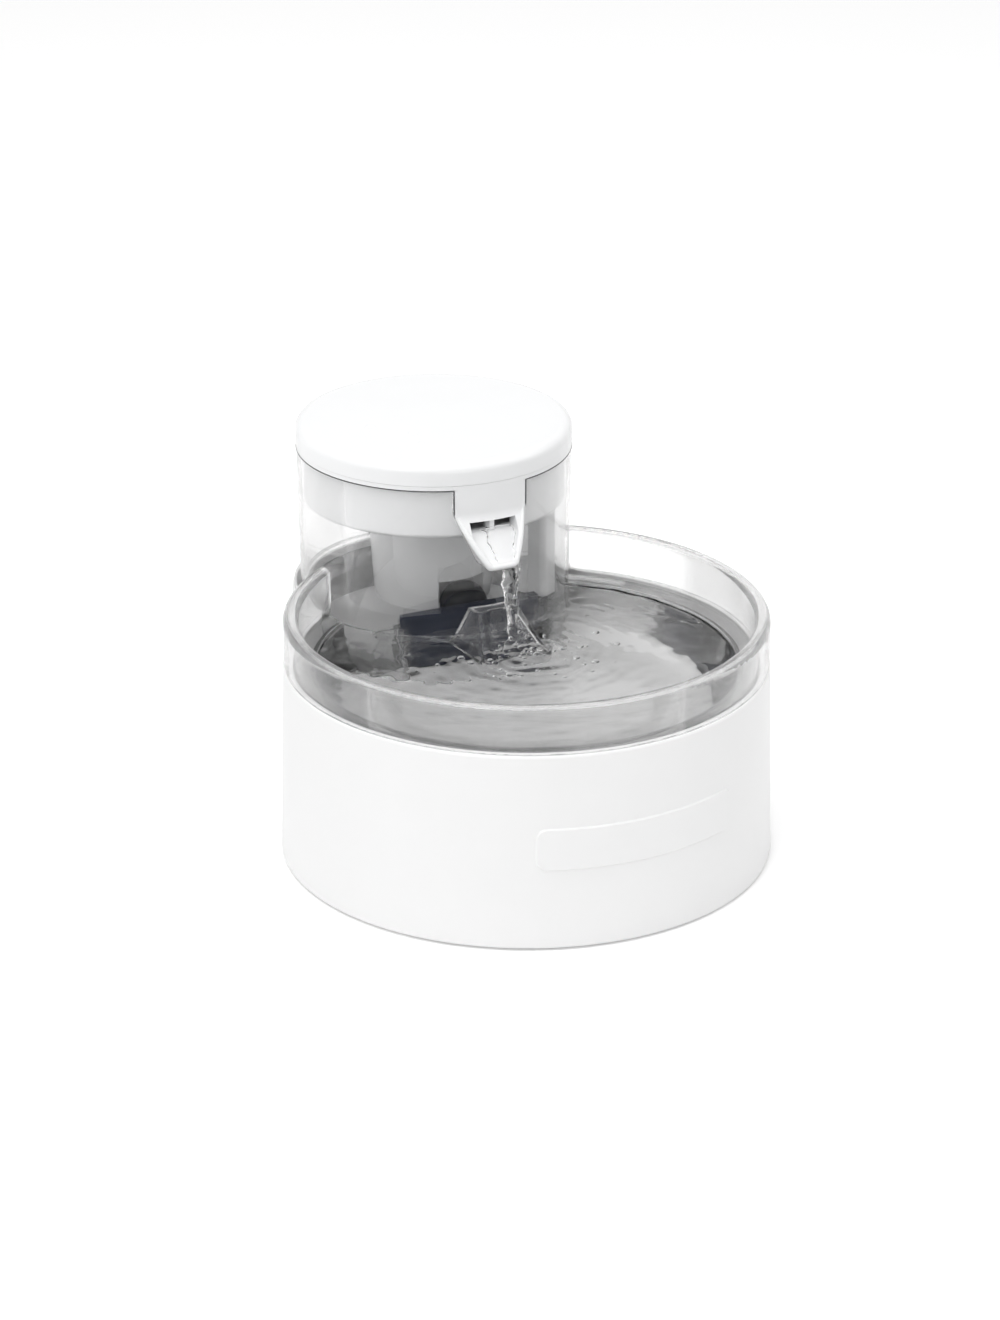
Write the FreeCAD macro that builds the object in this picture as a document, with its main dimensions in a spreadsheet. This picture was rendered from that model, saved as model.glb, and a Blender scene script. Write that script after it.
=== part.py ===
import FreeCAD, Part
import math
import os

import Sketcher

# Pet water fountain, millimetres, +Z up, spout towards -Y, standing on z = 0.
# The origin is at the centre of the footprint. The bowl's axis lies in front of it
# and the tower's axis behind it.

doc = FreeCAD.newDocument("PetFountain")
sheet = doc.addObject("Spreadsheet::Sheet", "Sizes")

# Driving dimensions
SIZES = [
    # Plan
    ("bowl_to_tower", 114.3),
    ("waist_blend", 12.0),
    # Base
    ("base_radius", 128.0),
    ("base_lip_radius", 125.4),
    ("tail_radius", 78.0),
    ("tail_lip_radius", 76.6),
    ("base_height", 105.0),
    ("skirt_wall", 2.6),
    ("lip_width", 5.0),
    ("tail_lip_width", 2.4),
    ("lip_round", 1.8),
    ("deck_top", 41.0),
    ("deck_wall", 2.6),
    ("deck_gap", 0.3),
    ("ledge_width", 1.8),
    ("ledge_height", 3.0),
    ("cover_wall", 2.4),
    ("cover_gap", 0.5),
    ("foot_height", 2.4),
    ("foot_stand", 1.6),
    ("foot_radius", 7.0),
    ("foot_ring", 96.0),
    ("boss_radius", 4.2),
    ("screw_ring", 112.0),
    ("screw_shank", 1.45),
    ("screw_head", 3.0),
    ("screw_gap", 0.05),
    # Drive under the deck
    ("pump_side", 4.0),
    ("pump_ahead", 28.0),
    ("motor_radius", 13.8),
    ("motor_length", 20.0),
    ("motor_nose", 4.5),
    ("bracket_wall", 2.0),
    ("bracket_length", 54.0),
    ("bracket_width", 20.0),
    ("bracket_drop", 7.0),
    ("bracket_pitch", 42.0),
    ("bracket_boss", 3.4),
    ("shaft_radius", 1.0),
    ("running_gap", 0.05),
    ("hub_radius", 14.0),
    ("hub_wall", 4.5),
    ("hub_deck_gap", 0.9),
    ("magnet_radius", 3.5),
    ("magnet_wall", 3.0),
    ("magnet_ring", 8.6),
    # Board and inlet
    ("board_width", 46.0),
    ("board_depth", 30.0),
    ("board_wall", 1.6),
    ("board_height", 10.0),
    ("jack_width", 9.0),
    ("jack_height", 11.0),
    ("jack_depth", 13.0),
    ("jack_overhang", 4.0),
    ("jack_bore", 2.75),
    ("jack_pin", 1.0),
    ("jack_hole", 5.0),
    # Clear bowl and tower
    ("bowl_wall", 2.4),
    ("bowl_floor_gap", 0.8),
    ("rim_radius", 125.0),
    ("rim_inner", 117.0),
    ("rim_height", 25.4),
    ("rim_round", 3.6),
    ("basin_radius", 109.0),
    ("basin_floor_radius", 103.0),
    ("basin_corner", 14.0),
    ("tower_radius", 73.0),
    ("tower_foot_radius", 71.2),
    ("tower_top", 184.0),
    ("tower_flange", 75.6),
    ("weld_gap", 0.1),
    # Foam and its guides
    ("foam_width", 78.0),
    ("foam_wall", 5.0),
    ("foam_ahead", 43.6),
    ("foam_top", 107.5),
    ("foam_gap", 0.4),
    ("guide_wall", 2.0),
    ("guide_top", 100.0),
    ("window_width", 84.0),
    ("window_top", 95.0),
    # Pump
    ("pump_radius", 12.7),
    ("pump_wall", 1.7),
    ("pump_top", 114.0),
    ("chamber_height", 18.0),
    ("eye_radius", 4.4),
    ("rotor_radius", 9.8),
    ("ring_magnet_radius", 9.2),
    ("ring_magnet_height", 6.0),
    ("pin_radius", 1.2),
    ("bush_wall", 1.0),
    ("pin_length", 17.0),
    ("vane_height", 5.0),
    # Riser
    ("riser_side", 43.8),
    ("riser_ahead", 25.8),
    ("riser_width", 27.0),
    ("riser_depth", 13.0),
    ("riser_wall", 1.8),
    ("riser_turn", -60.0),
    ("riser_foot", 104.0),
    ("riser_seal_wall", 1.5),
    # Spout basin
    ("drum_gap", 1.2),
    ("drum_wall", 2.0),
    ("drum_floor", 156.0),
    ("drum_step", 0.5),
    ("flange_wall", 2.2),
    ("flange_radius", 73.2),
    ("spout_width", 40.0),
    ("spout_shoulder", 170.0),
    ("spout_foot", 141.0),
    ("spout_lip_width", 17.0),
    ("spout_reach", 13.0),
    ("notch_gap", 0.4),
    ("slot_width", 26.0),
    ("slot_low", 160.0),
    ("slot_high", 165.8),
    ("slot_rib", 2.6),
    # Filter cup
    ("cup_back", 3.0),
    ("cup_radius", 35.2),
    ("cup_foot_radius", 31.0),
    ("cup_foot", 96.0),
    ("cup_wall", 2.0),
    ("cup_flange", 4.0),
    ("niche_gap", 1.5),
    ("niche_top", 116.0),
    # Filter cartridge
    ("case_gap", 0.8),
    ("case_wall", 1.6),
    ("case_height", 42.0),
    ("case_loop", 13.0),
    # Lid
    ("lid_radius", 73.4),
    ("lid_height", 12.0),
    ("lid_wall", 2.4),
    ("lid_round", 5.0),
    ("lid_seam", 0.2),
    ("lid_ring_depth", 6.0),
    ("lid_ring_gap", 0.5),
    ("seal_width", 1.2),
    ("seal_gap", 0.1),
    # Splash ramp
    ("ramp_top", 118.0),
    ("ramp_foot", 96.0),
    ("ramp_reach", 32.0),
    ("ramp_top_width", 27.0),
    ("ramp_foot_width", 47.0),
    ("ramp_wall", 2.2),
    ("ramp_gap", 0.1),
]


class Dim:
    """A length with the sheet expression that gives it."""

    def __init__(self, value, text):
        self.value = float(value)
        self.text = text

    @staticmethod
    def of(other):
        if isinstance(other, Dim):
            return other
        return Dim(other, "(%r)" % float(other))

    def join(self, other, sign, value):
        return Dim(value, "(%s %s %s)" % (self.text, sign, other.text))

    def __add__(self, other):
        other = Dim.of(other)
        return self.join(other, "+", self.value + other.value)

    def __sub__(self, other):
        other = Dim.of(other)
        return self.join(other, "-", self.value - other.value)

    def __mul__(self, other):
        other = Dim.of(other)
        return self.join(other, "*", self.value * other.value)

    def __truediv__(self, other):
        other = Dim.of(other)
        return self.join(other, "/", self.value / other.value)

    def __radd__(self, other):
        return Dim.of(other) + self

    def __rsub__(self, other):
        return Dim.of(other) - self

    def __rmul__(self, other):
        return Dim.of(other) * self

    def __neg__(self):
        return Dim.of(0) - self


def root(dim):
    return Dim(math.sqrt(dim.value), "sqrt(%s)" % dim.text)


size = {}
for row, (alias, number) in enumerate(SIZES, start=1):
    sheet.set("A%d" % row, alias)
    sheet.set("B%d" % row, "%g" % number)
    sheet.setAlias("B%d" % row, alias)
    size[alias] = Dim(number, "Sizes." + alias)
doc.recompute()

parts = {}


def bind(obj, **lengths):
    """Ties an object's lengths to the sheet."""
    for name, dim in lengths.items():
        dim = Dim.of(dim)
        setattr(obj, name, dim.value)
        obj.setExpression(name, dim.text)


def place(obj, x, y, z, turn=0.0):
    """Places an object at a bound position, turned about Z."""
    x, y, z = Dim.of(x), Dim.of(y), Dim.of(z)
    spin = FreeCAD.Rotation(FreeCAD.Vector(0, 0, 1), turn)
    obj.Placement = FreeCAD.Placement(FreeCAD.Vector(x.value, y.value, z.value), spin)
    for axis, dim in (("x", x), ("y", y), ("z", z)):
        obj.setExpression("Placement.Base." + axis, dim.text)


def cylinder(name, radius, height, x=0, y=0, z=0):
    obj = doc.addObject("Part::Cylinder", name)
    bind(obj, Radius=radius, Height=height)
    place(obj, x, y, z)
    return obj


def cone(name, low_radius, high_radius, height, x=0, y=0, z=0):
    obj = doc.addObject("Part::Cone", name)
    bind(obj, Radius1=low_radius, Radius2=high_radius, Height=height)
    place(obj, x, y, z)
    return obj


def block(name, length, width, height, x, y, z, turn=0.0):
    """A box centred on x, y and standing on z."""
    obj = doc.addObject("Part::Box", name)
    bind(obj, Length=length, Width=width, Height=height)
    length, width = Dim.of(length), Dim.of(width)
    cosine = math.cos(math.radians(turn))
    sine = math.sin(math.radians(turn))
    corner_x = Dim.of(x) - length * (0.5 * cosine) + width * (0.5 * sine)
    corner_y = Dim.of(y) - length * (0.5 * sine) - width * (0.5 * cosine)
    place(obj, corner_x, corner_y, z, turn)
    return obj


def cut(name, base, tool):
    obj = doc.addObject("Part::Cut", name)
    obj.Base = base
    obj.Tool = tool
    return obj


def fuse(name, *shapes):
    obj = doc.addObject("Part::MultiFuse", name)
    obj.Shapes = list(shapes)
    obj.Refine = True
    return obj


def common(name, *shapes):
    obj = doc.addObject("Part::MultiCommon", name)
    obj.Shapes = list(shapes)
    return obj


def group(name, solids):
    obj = doc.addObject("Part::Compound", name)
    obj.Links = list(solids)
    return obj


def keep(node, obj):
    """Names the finished object after its piece and keeps it for writing."""
    obj.Label = node
    parts[node] = obj


def origin_plane(body, role):
    for feature in body.Origin.OriginFeatures:
        if feature.Role == role:
            return feature
    raise ValueError(role)


def sketch_on(body, role, name, x=0, y=0, z=0, turn=0.0):
    """A sketch on an origin plane of its body, moved to a bound place.

    An XY sketch draws in plan at height z. An XZ or YZ sketch draws upright, with
    its own vertical axis through (x, y).
    """
    sketch = body.newObject("Sketcher::SketchObject", name)
    sketch.AttachmentSupport = [(origin_plane(body, role), "")]
    sketch.MapMode = "FlatFace"
    x, y, z = Dim.of(x), Dim.of(y), Dim.of(z)
    if role == "XZ_Plane":
        shift = (("x", x), ("y", z), ("z", -y))
    elif role == "YZ_Plane":
        shift = (("x", y), ("y", z), ("z", x))
    else:
        shift = (("x", x), ("y", y), ("z", z))
    base = FreeCAD.Vector(*(dim.value for _, dim in shift))
    spin = FreeCAD.Rotation(FreeCAD.Vector(0, 0, 1), turn)
    sketch.AttachmentOffset = FreeCAD.Placement(base, spin)
    for axis, dim in shift:
        sketch.setExpression("AttachmentOffset.Base." + axis, dim.text)
    return sketch


def fix(sketch, *constraint, to=None):
    """Adds a constraint and ties it to the sheet when it carries a length."""
    if to is None:
        return sketch.addConstraint(Sketcher.Constraint(*constraint))
    index = sketch.addConstraint(Sketcher.Constraint(*constraint, to.value))
    sketch.setExpression("Constraints[%d]" % index, to.text)
    return index


def outline(sketch, corners):
    """A closed outline through corners (x, y) or (x, y, rounding)."""
    corners = [tuple(Dim.of(v) for v in corner) for corner in corners]
    count = len(corners)
    spots = [FreeCAD.Vector(c[0].value, c[1].value, 0) for c in corners]
    starts = []
    ends = []
    for i, corner in enumerate(corners):
        here = spots[i]
        if len(corner) < 3:
            starts.append(here)
            ends.append(here)
            continue
        before = (spots[i - 1] - here).normalize()
        after = (spots[(i + 1) % count] - here).normalize()
        half = before.getAngle(after) / 2
        reach = corner[2].value / math.tan(half)
        ends.append(here + before * reach)
        starts.append(here + after * reach)
    lines = []
    for i in range(count):
        line = Part.LineSegment(starts[i], ends[(i + 1) % count])
        lines.append(sketch.addGeometry(line, False))
    for i, corner in enumerate(corners):
        inward = lines[i - 1]
        outward = lines[i]
        if len(corner) < 3:
            fix(sketch, "Coincident", inward, 2, outward, 1)
            fix(sketch, "DistanceX", -1, 1, outward, 1, to=corner[0])
            fix(sketch, "DistanceY", -1, 1, outward, 1, to=corner[1])
            continue
        before = (ends[i] - spots[i]).normalize()
        after = (starts[i] - spots[i]).normalize()
        half = before.getAngle(after) / 2
        bisector = (before + after).normalize()
        centre = spots[i] + bisector * (corner[2].value / math.sin(half))
        middle = centre - bisector * corner[2].value
        arc = sketch.addGeometry(Part.Arc(ends[i], middle, starts[i]), False)
        turning = before.cross(after).z
        first, last = (1, 2) if turning < 0 else (2, 1)
        fix(sketch, "Tangent", inward, 2, arc, first)
        fix(sketch, "Tangent", outward, 1, arc, last)
        fix(sketch, "Radius", arc, to=corner[2])
        point = sketch.addGeometry(Part.Point(spots[i]), True)
        fix(sketch, "PointOnObject", point, 1, inward)
        fix(sketch, "PointOnObject", point, 1, outward)
        fix(sketch, "DistanceX", -1, 1, point, 1, to=corner[0])
        fix(sketch, "DistanceY", -1, 1, point, 1, to=corner[1])


def circle(sketch, x, y, radius):
    x, y, radius = Dim.of(x), Dim.of(y), Dim.of(radius)
    ring = Part.Circle(FreeCAD.Vector(x.value, y.value, 0), FreeCAD.Vector(0, 0, 1), radius.value)
    index = sketch.addGeometry(ring, False)
    fix(sketch, "Radius", index, to=radius)
    fix(sketch, "DistanceX", -1, 1, index, 3, to=x)
    fix(sketch, "DistanceY", -1, 1, index, 3, to=y)


def pear(sketch, big, small, blend):
    """The plan of base and bowl: a round with a lobe behind and blended waists."""
    apart = tower_y.value - bowl_y.value
    reach_big = big.value + blend.value
    reach_small = small.value + blend.value
    along = (reach_big ** 2 - reach_small ** 2 + apart ** 2) / (2 * apart)
    side = math.sqrt(reach_big ** 2 - along ** 2)
    big_centre = FreeCAD.Vector(0, bowl_y.value, 0)
    small_centre = FreeCAD.Vector(0, tower_y.value, 0)
    ids = {}
    touch = {}
    for sign in (1, -1):
        waist = FreeCAD.Vector(sign * side, bowl_y.value + along, 0)
        on_big = big_centre + (waist - big_centre).normalize() * big.value
        on_small = small_centre + (waist - small_centre).normalize() * small.value
        touch[sign] = (on_big, on_small)
        inward = ((big_centre + small_centre) * 0.5 - waist).normalize()
        middle = waist + inward * blend.value
        arc = Part.Arc(on_big, middle, on_small)
        ids[sign] = sketch.addGeometry(arc, False)
    front = big_centre - FreeCAD.Vector(0, big.value, 0)
    back = small_centre + FreeCAD.Vector(0, small.value, 0)
    big_arc = sketch.addGeometry(Part.Arc(touch[-1][0], front, touch[1][0]), False)
    small_arc = sketch.addGeometry(Part.Arc(touch[1][1], back, touch[-1][1]), False)
    # Every arc runs anticlockwise, so the right waist ends on the big arc.
    fix(sketch, "Tangent", big_arc, 2, ids[1], 2)
    fix(sketch, "Tangent", ids[1], 1, small_arc, 1)
    fix(sketch, "Tangent", small_arc, 2, ids[-1], 2)
    fix(sketch, "Tangent", ids[-1], 1, big_arc, 1)
    for arc, centre_y, radius in ((big_arc, bowl_y, big), (small_arc, tower_y, small)):
        fix(sketch, "Radius", arc, to=radius)
        fix(sketch, "PointOnObject", arc, 3, -2)
        fix(sketch, "DistanceY", -1, 1, arc, 3, to=centre_y)
    fix(sketch, "Radius", ids[1], to=blend)
    fix(sketch, "Radius", ids[-1], to=blend)


def new_body(name):
    return doc.addObject("PartDesign::Body", name)


def volume(body):
    doc.recompute()
    return body.Shape.Volume


def turn_solid(body, sketch, name):
    feature = body.newObject("PartDesign::Revolution", name)
    feature.Profile = sketch
    feature.ReferenceAxis = (sketch, ["V_Axis"])
    feature.Angle = 360.0
    doc.recompute()
    return feature


def turn_hollow(body, sketch, name):
    before = body.Shape.Volume
    feature = body.newObject("PartDesign::Groove", name)
    feature.Profile = sketch
    feature.ReferenceAxis = (sketch, ["V_Axis"])
    feature.Angle = 360.0
    if volume(body) > before - 1:
        raise ValueError(name + " cuts nothing")
    return feature


def pad(body, sketch, name, length, reverse=False):
    feature = body.newObject("PartDesign::Pad", name)
    feature.Profile = sketch
    bind(feature, Length=length)
    feature.Reversed = reverse
    doc.recompute()
    return feature


def pocket(body, sketch, name, length, reverse=False):
    """Cuts downwards from an XY sketch, or upwards when reversed."""
    before = body.Shape.Volume
    feature = body.newObject("PartDesign::Pocket", name)
    feature.Profile = sketch
    bind(feature, Length=length)
    feature.Reversed = reverse
    if volume(body) > before - 1e-3:
        raise ValueError(name + " cuts nothing")
    return feature


def edges_at(shape, height, radius, x, y, slack=0.05):
    """Names of the edges that lie on one circle about (x, y)."""
    names = []
    for index, edge in enumerate(shape.Edges, start=1):
        first, last = edge.ParameterRange
        spots = [edge.valueAt(first + (last - first) * share) for share in (0.1, 0.5, 0.9)]
        if all(
            abs(spot.z - height) < slack and abs(math.hypot(spot.x - x, spot.y - y) - radius) < slack
            for spot in spots
        ):
            names.append("Edge%d" % index)
    return names


def pear_edges(shape, height, big, small, slack=0.5):
    """Names of the flat edges at one height that lie on or outside the two rounds."""
    names = []
    for index, edge in enumerate(shape.Edges, start=1):
        first, last = edge.ParameterRange
        spots = [edge.valueAt(first + (last - first) * share) for share in (0.1, 0.5, 0.9)]
        outside = True
        for spot in spots:
            to_big = math.hypot(spot.x, spot.y - bowl_y.value) - big.value
            to_small = math.hypot(spot.x, spot.y - tower_y.value) - small.value
            if abs(spot.z - height.value) > slack or min(to_big, to_small) < -slack:
                outside = False
        if outside:
            names.append("Edge%d" % index)
    return names


def round_edges(body, names, name, radius):
    base = body.Tip
    feature = body.newObject("PartDesign::Fillet", name)
    feature.Base = (base, names)
    bind(feature, Radius=radius)
    doc.recompute()
    return feature


# Places that several pieces share
bowl_y = (size["base_radius"] - size["bowl_to_tower"] - size["tail_radius"]) / 2
tower_y = bowl_y + size["bowl_to_tower"]
pump_x = size["pump_side"]
pump_y = tower_y - size["pump_ahead"]
deck_low = size["deck_top"] - size["deck_wall"]
floor_low = size["deck_top"] + size["bowl_floor_gap"]
floor_top = floor_low + size["bowl_wall"]
rim_top = size["base_height"] + size["rim_height"]
tower_slope = (size["tower_radius"] - size["tower_foot_radius"]) / (size["tower_top"] - floor_low)
foam_y = tower_y - size["foam_ahead"]
riser_x = size["riser_side"]
riser_y = tower_y - size["riser_ahead"]
cup_y = tower_y + size["cup_back"]
drum_radius = size["tower_radius"] - size["bowl_wall"] - size["drum_gap"]
flange_top = size["tower_top"] + size["flange_wall"]


def skirt_radius(height):
    """The base's outer radius at a height, on the main round."""
    drop = (size["base_radius"] - size["base_lip_radius"]) / size["base_height"]
    return size["base_radius"] - drop * height


def lobe_radius(height):
    """The base's outer radius at a height, on the lobe."""
    drop = (size["tail_radius"] - size["tail_lip_radius"]) / size["base_height"]
    return size["tail_radius"] - drop * height


def pear_loft(body, kind, name, low, high, inset_low, inset_high, tail_inset_high=None):
    """A tapered solid or hollow of the base's plan between two heights."""
    low, high = Dim.of(low), Dim.of(high)
    inset_low, inset_high = Dim.of(inset_low), Dim.of(inset_high)
    tail_high = inset_high if tail_inset_high is None else Dim.of(tail_inset_high)
    rings = []
    for label, height, inset, tail in (
        ("low", low, inset_low, inset_low), ("high", high, inset_high, tail_high)
    ):
        ring = sketch_on(body, "XY_Plane", "%s_%s" % (name, label), z=height)
        big = skirt_radius(height) - inset
        small = lobe_radius(height) - tail
        pear(ring, big, small, size["waist_blend"] + inset)
        rings.append(ring)
    feature = body.newObject("PartDesign::" + kind, name)
    feature.Profile = rings[0]
    feature.Sections = [rings[1]]
    feature.Ruled = True
    doc.recompute()
    return feature


# Base shell
# White moulded skirt. Above its ledge is the tub that the bowl drops into, below it
# the dry room for the drive. The lip carries the bowl.
def screw_spots():
    """Places of the cover's screws, three round the front and two in the lobe."""
    ring = size["screw_ring"]
    spots = []
    for angle in (-150, -90, -30):
        cosine = math.cos(math.radians(angle))
        sine = math.sin(math.radians(angle))
        spots.append((ring * cosine, bowl_y + ring * sine))
    lobe = size["tail_radius"] - size["skirt_wall"] - 3 * size["boss_radius"]
    for angle in (35, 145):
        cosine = math.cos(math.radians(angle))
        sine = math.sin(math.radians(angle))
        spots.append((lobe * cosine, tower_y + lobe * sine))
    return spots


def base_shell():
    body = new_body("base_shell")
    low = size["foot_stand"]
    wall = size["skirt_wall"]
    ledge = wall + size["ledge_width"]
    ledge_low = deck_low - size["ledge_height"]
    pear_loft(body, "AdditiveLoft", "skirt", low, size["base_height"], 0, 0)
    pear_loft(
        body, "SubtractiveLoft", "tub", deck_low, size["base_height"],
        wall, size["lip_width"], size["tail_lip_width"],
    )
    pear_loft(body, "SubtractiveLoft", "dry_room", low, ledge_low, wall, wall)
    pear_loft(body, "SubtractiveLoft", "deck_ledge", ledge_low, deck_low, ledge, ledge)
    inlet = sketch_on(body, "XZ_Plane", "inlet_plan", y=tower_y + size["tail_radius"] - 8)
    circle(inlet, 0, jack_z, size["jack_hole"])
    pocket(body, inlet, "inlet_hole", 20)
    lip = (size["base_lip_radius"], size["tail_lip_radius"])
    names = pear_edges(body.Shape, size["base_height"], *lip)
    round_edges(body, names, "lip_rounding", size["lip_round"])
    keep("base_shell", body)


# Base deck
# White plate welded on the skirt's ledge. Its bosses take the cover's screws and its
# posts carry the motor.
def base_deck():
    body = new_body("base_deck")
    low = size["foot_stand"]
    inset = size["skirt_wall"] + size["deck_gap"]
    plan = sketch_on(body, "XY_Plane", "deck_plan", z=deck_low)
    pear(plan, skirt_radius(deck_low) - inset, lobe_radius(deck_low) - inset, size["waist_blend"] + inset)
    pad(body, plan, "deck_plate", size["deck_wall"])
    bosses = sketch_on(body, "XY_Plane", "boss_plan", z=low + size["cover_wall"])
    for x, y in screw_spots():
        circle(bosses, x, y, size["boss_radius"])
    pad(body, bosses, "bosses", deck_low - low - size["cover_wall"])
    holes = sketch_on(body, "XY_Plane", "boss_hole_plan", z=low + size["cover_wall"])
    for x, y in screw_spots():
        circle(holes, x, y, size["screw_shank"] + size["screw_gap"])
    pocket(body, holes, "boss_holes", 14, reverse=True)
    posts = sketch_on(body, "XY_Plane", "post_plan", z=deck_low - size["bracket_drop"])
    for sign in (-1, 1):
        circle(posts, pump_x + sign * size["bracket_pitch"] / 2, pump_y, size["bracket_boss"])
    pad(body, posts, "bracket_posts", size["bracket_drop"])
    post_holes = sketch_on(body, "XY_Plane", "post_hole_plan", z=deck_low - size["bracket_drop"])
    for sign in (-1, 1):
        spot = pump_x + sign * size["bracket_pitch"] / 2
        circle(post_holes, spot, pump_y, size["screw_shank"] + size["screw_gap"])
    pocket(body, post_holes, "bracket_post_holes", size["bracket_drop"] - 1, reverse=True)
    keep("base_deck", body)


jack_z = size["foot_stand"] + size["cover_wall"] + size["board_height"] + size["board_wall"] + size["jack_height"] / 2
base_shell()
base_deck()


# Bottom cover
# Flat white plate inside the skirt, held by countersunk screws, with recesses for the feet.
def foot_spots():
    spots = []
    for angle in (-135, -45, 180, 0):
        cosine = math.cos(math.radians(angle))
        sine = math.sin(math.radians(angle))
        spots.append((size["foot_ring"] * cosine, bowl_y + size["foot_ring"] * sine))
    spots.append((Dim.of(0), tower_y + size["tail_radius"] - 3 * size["foot_radius"]))
    return spots


def bottom_cover():
    body = new_body("base_bottom_cover")
    low = size["foot_stand"]
    inset = size["skirt_wall"] + size["cover_gap"]
    ring = sketch_on(body, "XY_Plane", "cover_plan", z=low)
    pear(ring, skirt_radius(low) - inset, lobe_radius(low) - inset, size["waist_blend"] + inset)
    pad(body, ring, "cover_plate", size["cover_wall"])
    holes = sketch_on(body, "XY_Plane", "cover_hole_plan", z=low)
    for x, y in screw_spots():
        circle(holes, x, y, size["screw_shank"] + size["screw_gap"])
    pocket(body, holes, "cover_holes", size["cover_wall"], reverse=True)
    sinks = sketch_on(body, "XY_Plane", "cover_sink_plan", z=low)
    for x, y in screw_spots():
        circle(sinks, x, y, size["screw_head"] + size["screw_gap"])
    pocket(body, sinks, "cover_sinks", head_height, reverse=True)
    seats = sketch_on(body, "XY_Plane", "foot_seat_plan", z=low)
    for x, y in foot_spots():
        circle(seats, x, y, size["foot_radius"] + size["running_gap"])
    pocket(body, seats, "foot_seats", size["foot_height"] - low, reverse=True)
    posts = sketch_on(body, "XY_Plane", "board_post_plan", z=low + size["cover_wall"])
    for x, y in board_spots():
        circle(posts, x, y, board_post)
    pad(body, posts, "board_posts", size["board_height"])
    keep("base_bottom_cover", body)


def screw_row(node, spots, head_z, shank_z, head_radius, shank_radius, head_wall, shank_length):
    """Screws pushed up from below: a flat head and a plain shank each."""
    screws = []
    for number, (x, y) in enumerate(spots, start=1):
        head = cylinder("%s_head_%d" % (node, number), head_radius, head_wall, x, y, head_z)
        shank = cylinder("%s_shank_%d" % (node, number), shank_radius, shank_length, x, y, shank_z)
        screws.append(fuse("%s_%d" % (node, number), head, shank))
    keep(node, group(node, screws))


def feet():
    pads = []
    for number, (x, y) in enumerate(foot_spots(), start=1):
        pads.append(cylinder("foot_%d" % number, size["foot_radius"], size["foot_height"], x, y, 0))
    keep("rubber_feet", group("rubber_feet", pads))


# Drive under the deck
# The motor hangs from two deck posts by a plate. Its shaft carries a hub of magnets
# that runs close under the deck, below the impeller.
def drive():
    can = cylinder("motor_can", size["motor_radius"], size["motor_length"], pump_x, pump_y, motor_low)
    nose = cylinder("motor_nose", size["motor_nose"], size["bracket_wall"], pump_x, pump_y, motor_top)
    end_cap = cylinder("motor_end_cap", size["motor_radius"] * 0.6, 2, pump_x, pump_y, motor_low - 2)
    tags = []
    for sign in (-1, 1):
        spot = pump_x + sign * size["motor_radius"] * 0.4
        tags.append(block("motor_tag_%d" % (sign + 2), 2, 0.6, 4, spot, pump_y, motor_low - 4.5))
    solid = fuse("motor_solid", can, nose, end_cap, *tags)
    bore_low = motor_low + 3
    bore = cylinder(
        "motor_bore", size["shaft_radius"] + size["running_gap"],
        size["motor_length"] + size["bracket_wall"], pump_x, pump_y, bore_low,
    )
    keep("drive_motor", cut("drive_motor", solid, bore))

    plate = block(
        "bracket_plate", size["bracket_length"], size["bracket_width"], size["bracket_wall"],
        pump_x, pump_y, motor_top,
    )
    window = cylinder(
        "bracket_window", size["motor_nose"] + size["running_gap"], size["bracket_wall"],
        pump_x, pump_y, motor_top,
    )
    tools = [window]
    for sign in (-1, 1):
        spot = pump_x + sign * size["bracket_pitch"] / 2
        hole = size["screw_shank"] + size["screw_gap"]
        tools.append(cylinder("bracket_hole_%d" % (sign + 2), hole, size["bracket_wall"], spot, pump_y, motor_top))
    keep("motor_bracket", cut("motor_bracket", plate, fuse("bracket_cuts", *tools)))
    spots = [(pump_x + sign * size["bracket_pitch"] / 2, pump_y) for sign in (-1, 1)]
    screw_row(
        "bracket_screws", spots, motor_top - 1.6, motor_top, size["screw_head"],
        size["screw_shank"], 1.6, size["bracket_wall"] + size["bracket_drop"] - 2,
    )

    shaft_low = bore_low + 0.4
    shaft = cylinder(
        "motor_shaft", size["shaft_radius"], hub_low + size["hub_wall"] - shaft_low,
        pump_x, pump_y, shaft_low,
    )
    keep("motor_shaft", shaft)
    disc = cylinder("hub_disc", size["hub_radius"], size["hub_wall"], pump_x, pump_y, hub_low)
    cuts = [cylinder("hub_bore", size["shaft_radius"], size["hub_wall"], pump_x, pump_y, hub_low)]
    magnets = []
    for number in range(4):
        angle = math.radians(90 * number + 45)
        x = pump_x + size["magnet_ring"] * math.cos(angle)
        y = pump_y + size["magnet_ring"] * math.sin(angle)
        low = hub_low + size["hub_wall"] - size["magnet_wall"]
        seat = size["magnet_radius"] + size["running_gap"]
        cuts.append(cylinder("magnet_seat_%d" % number, seat, size["magnet_wall"], x, y, low))
        magnets.append(
            cylinder("drive_magnet_%d" % number, size["magnet_radius"], size["magnet_wall"], x, y, low)
        )
    keep("drive_hub", cut("drive_hub", disc, fuse("hub_cuts", *cuts)))
    keep("drive_magnets", group("drive_magnets", magnets))


# Circuit board and power inlet
def board_spots():
    spots = []
    for sign in (-1, 1):
        for back in (-1, 1):
            x = sign * (size["board_width"] / 2 - 3.5)
            spots.append((x, board_y + back * (size["board_depth"] / 2 - 3.5)))
    return spots


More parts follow.
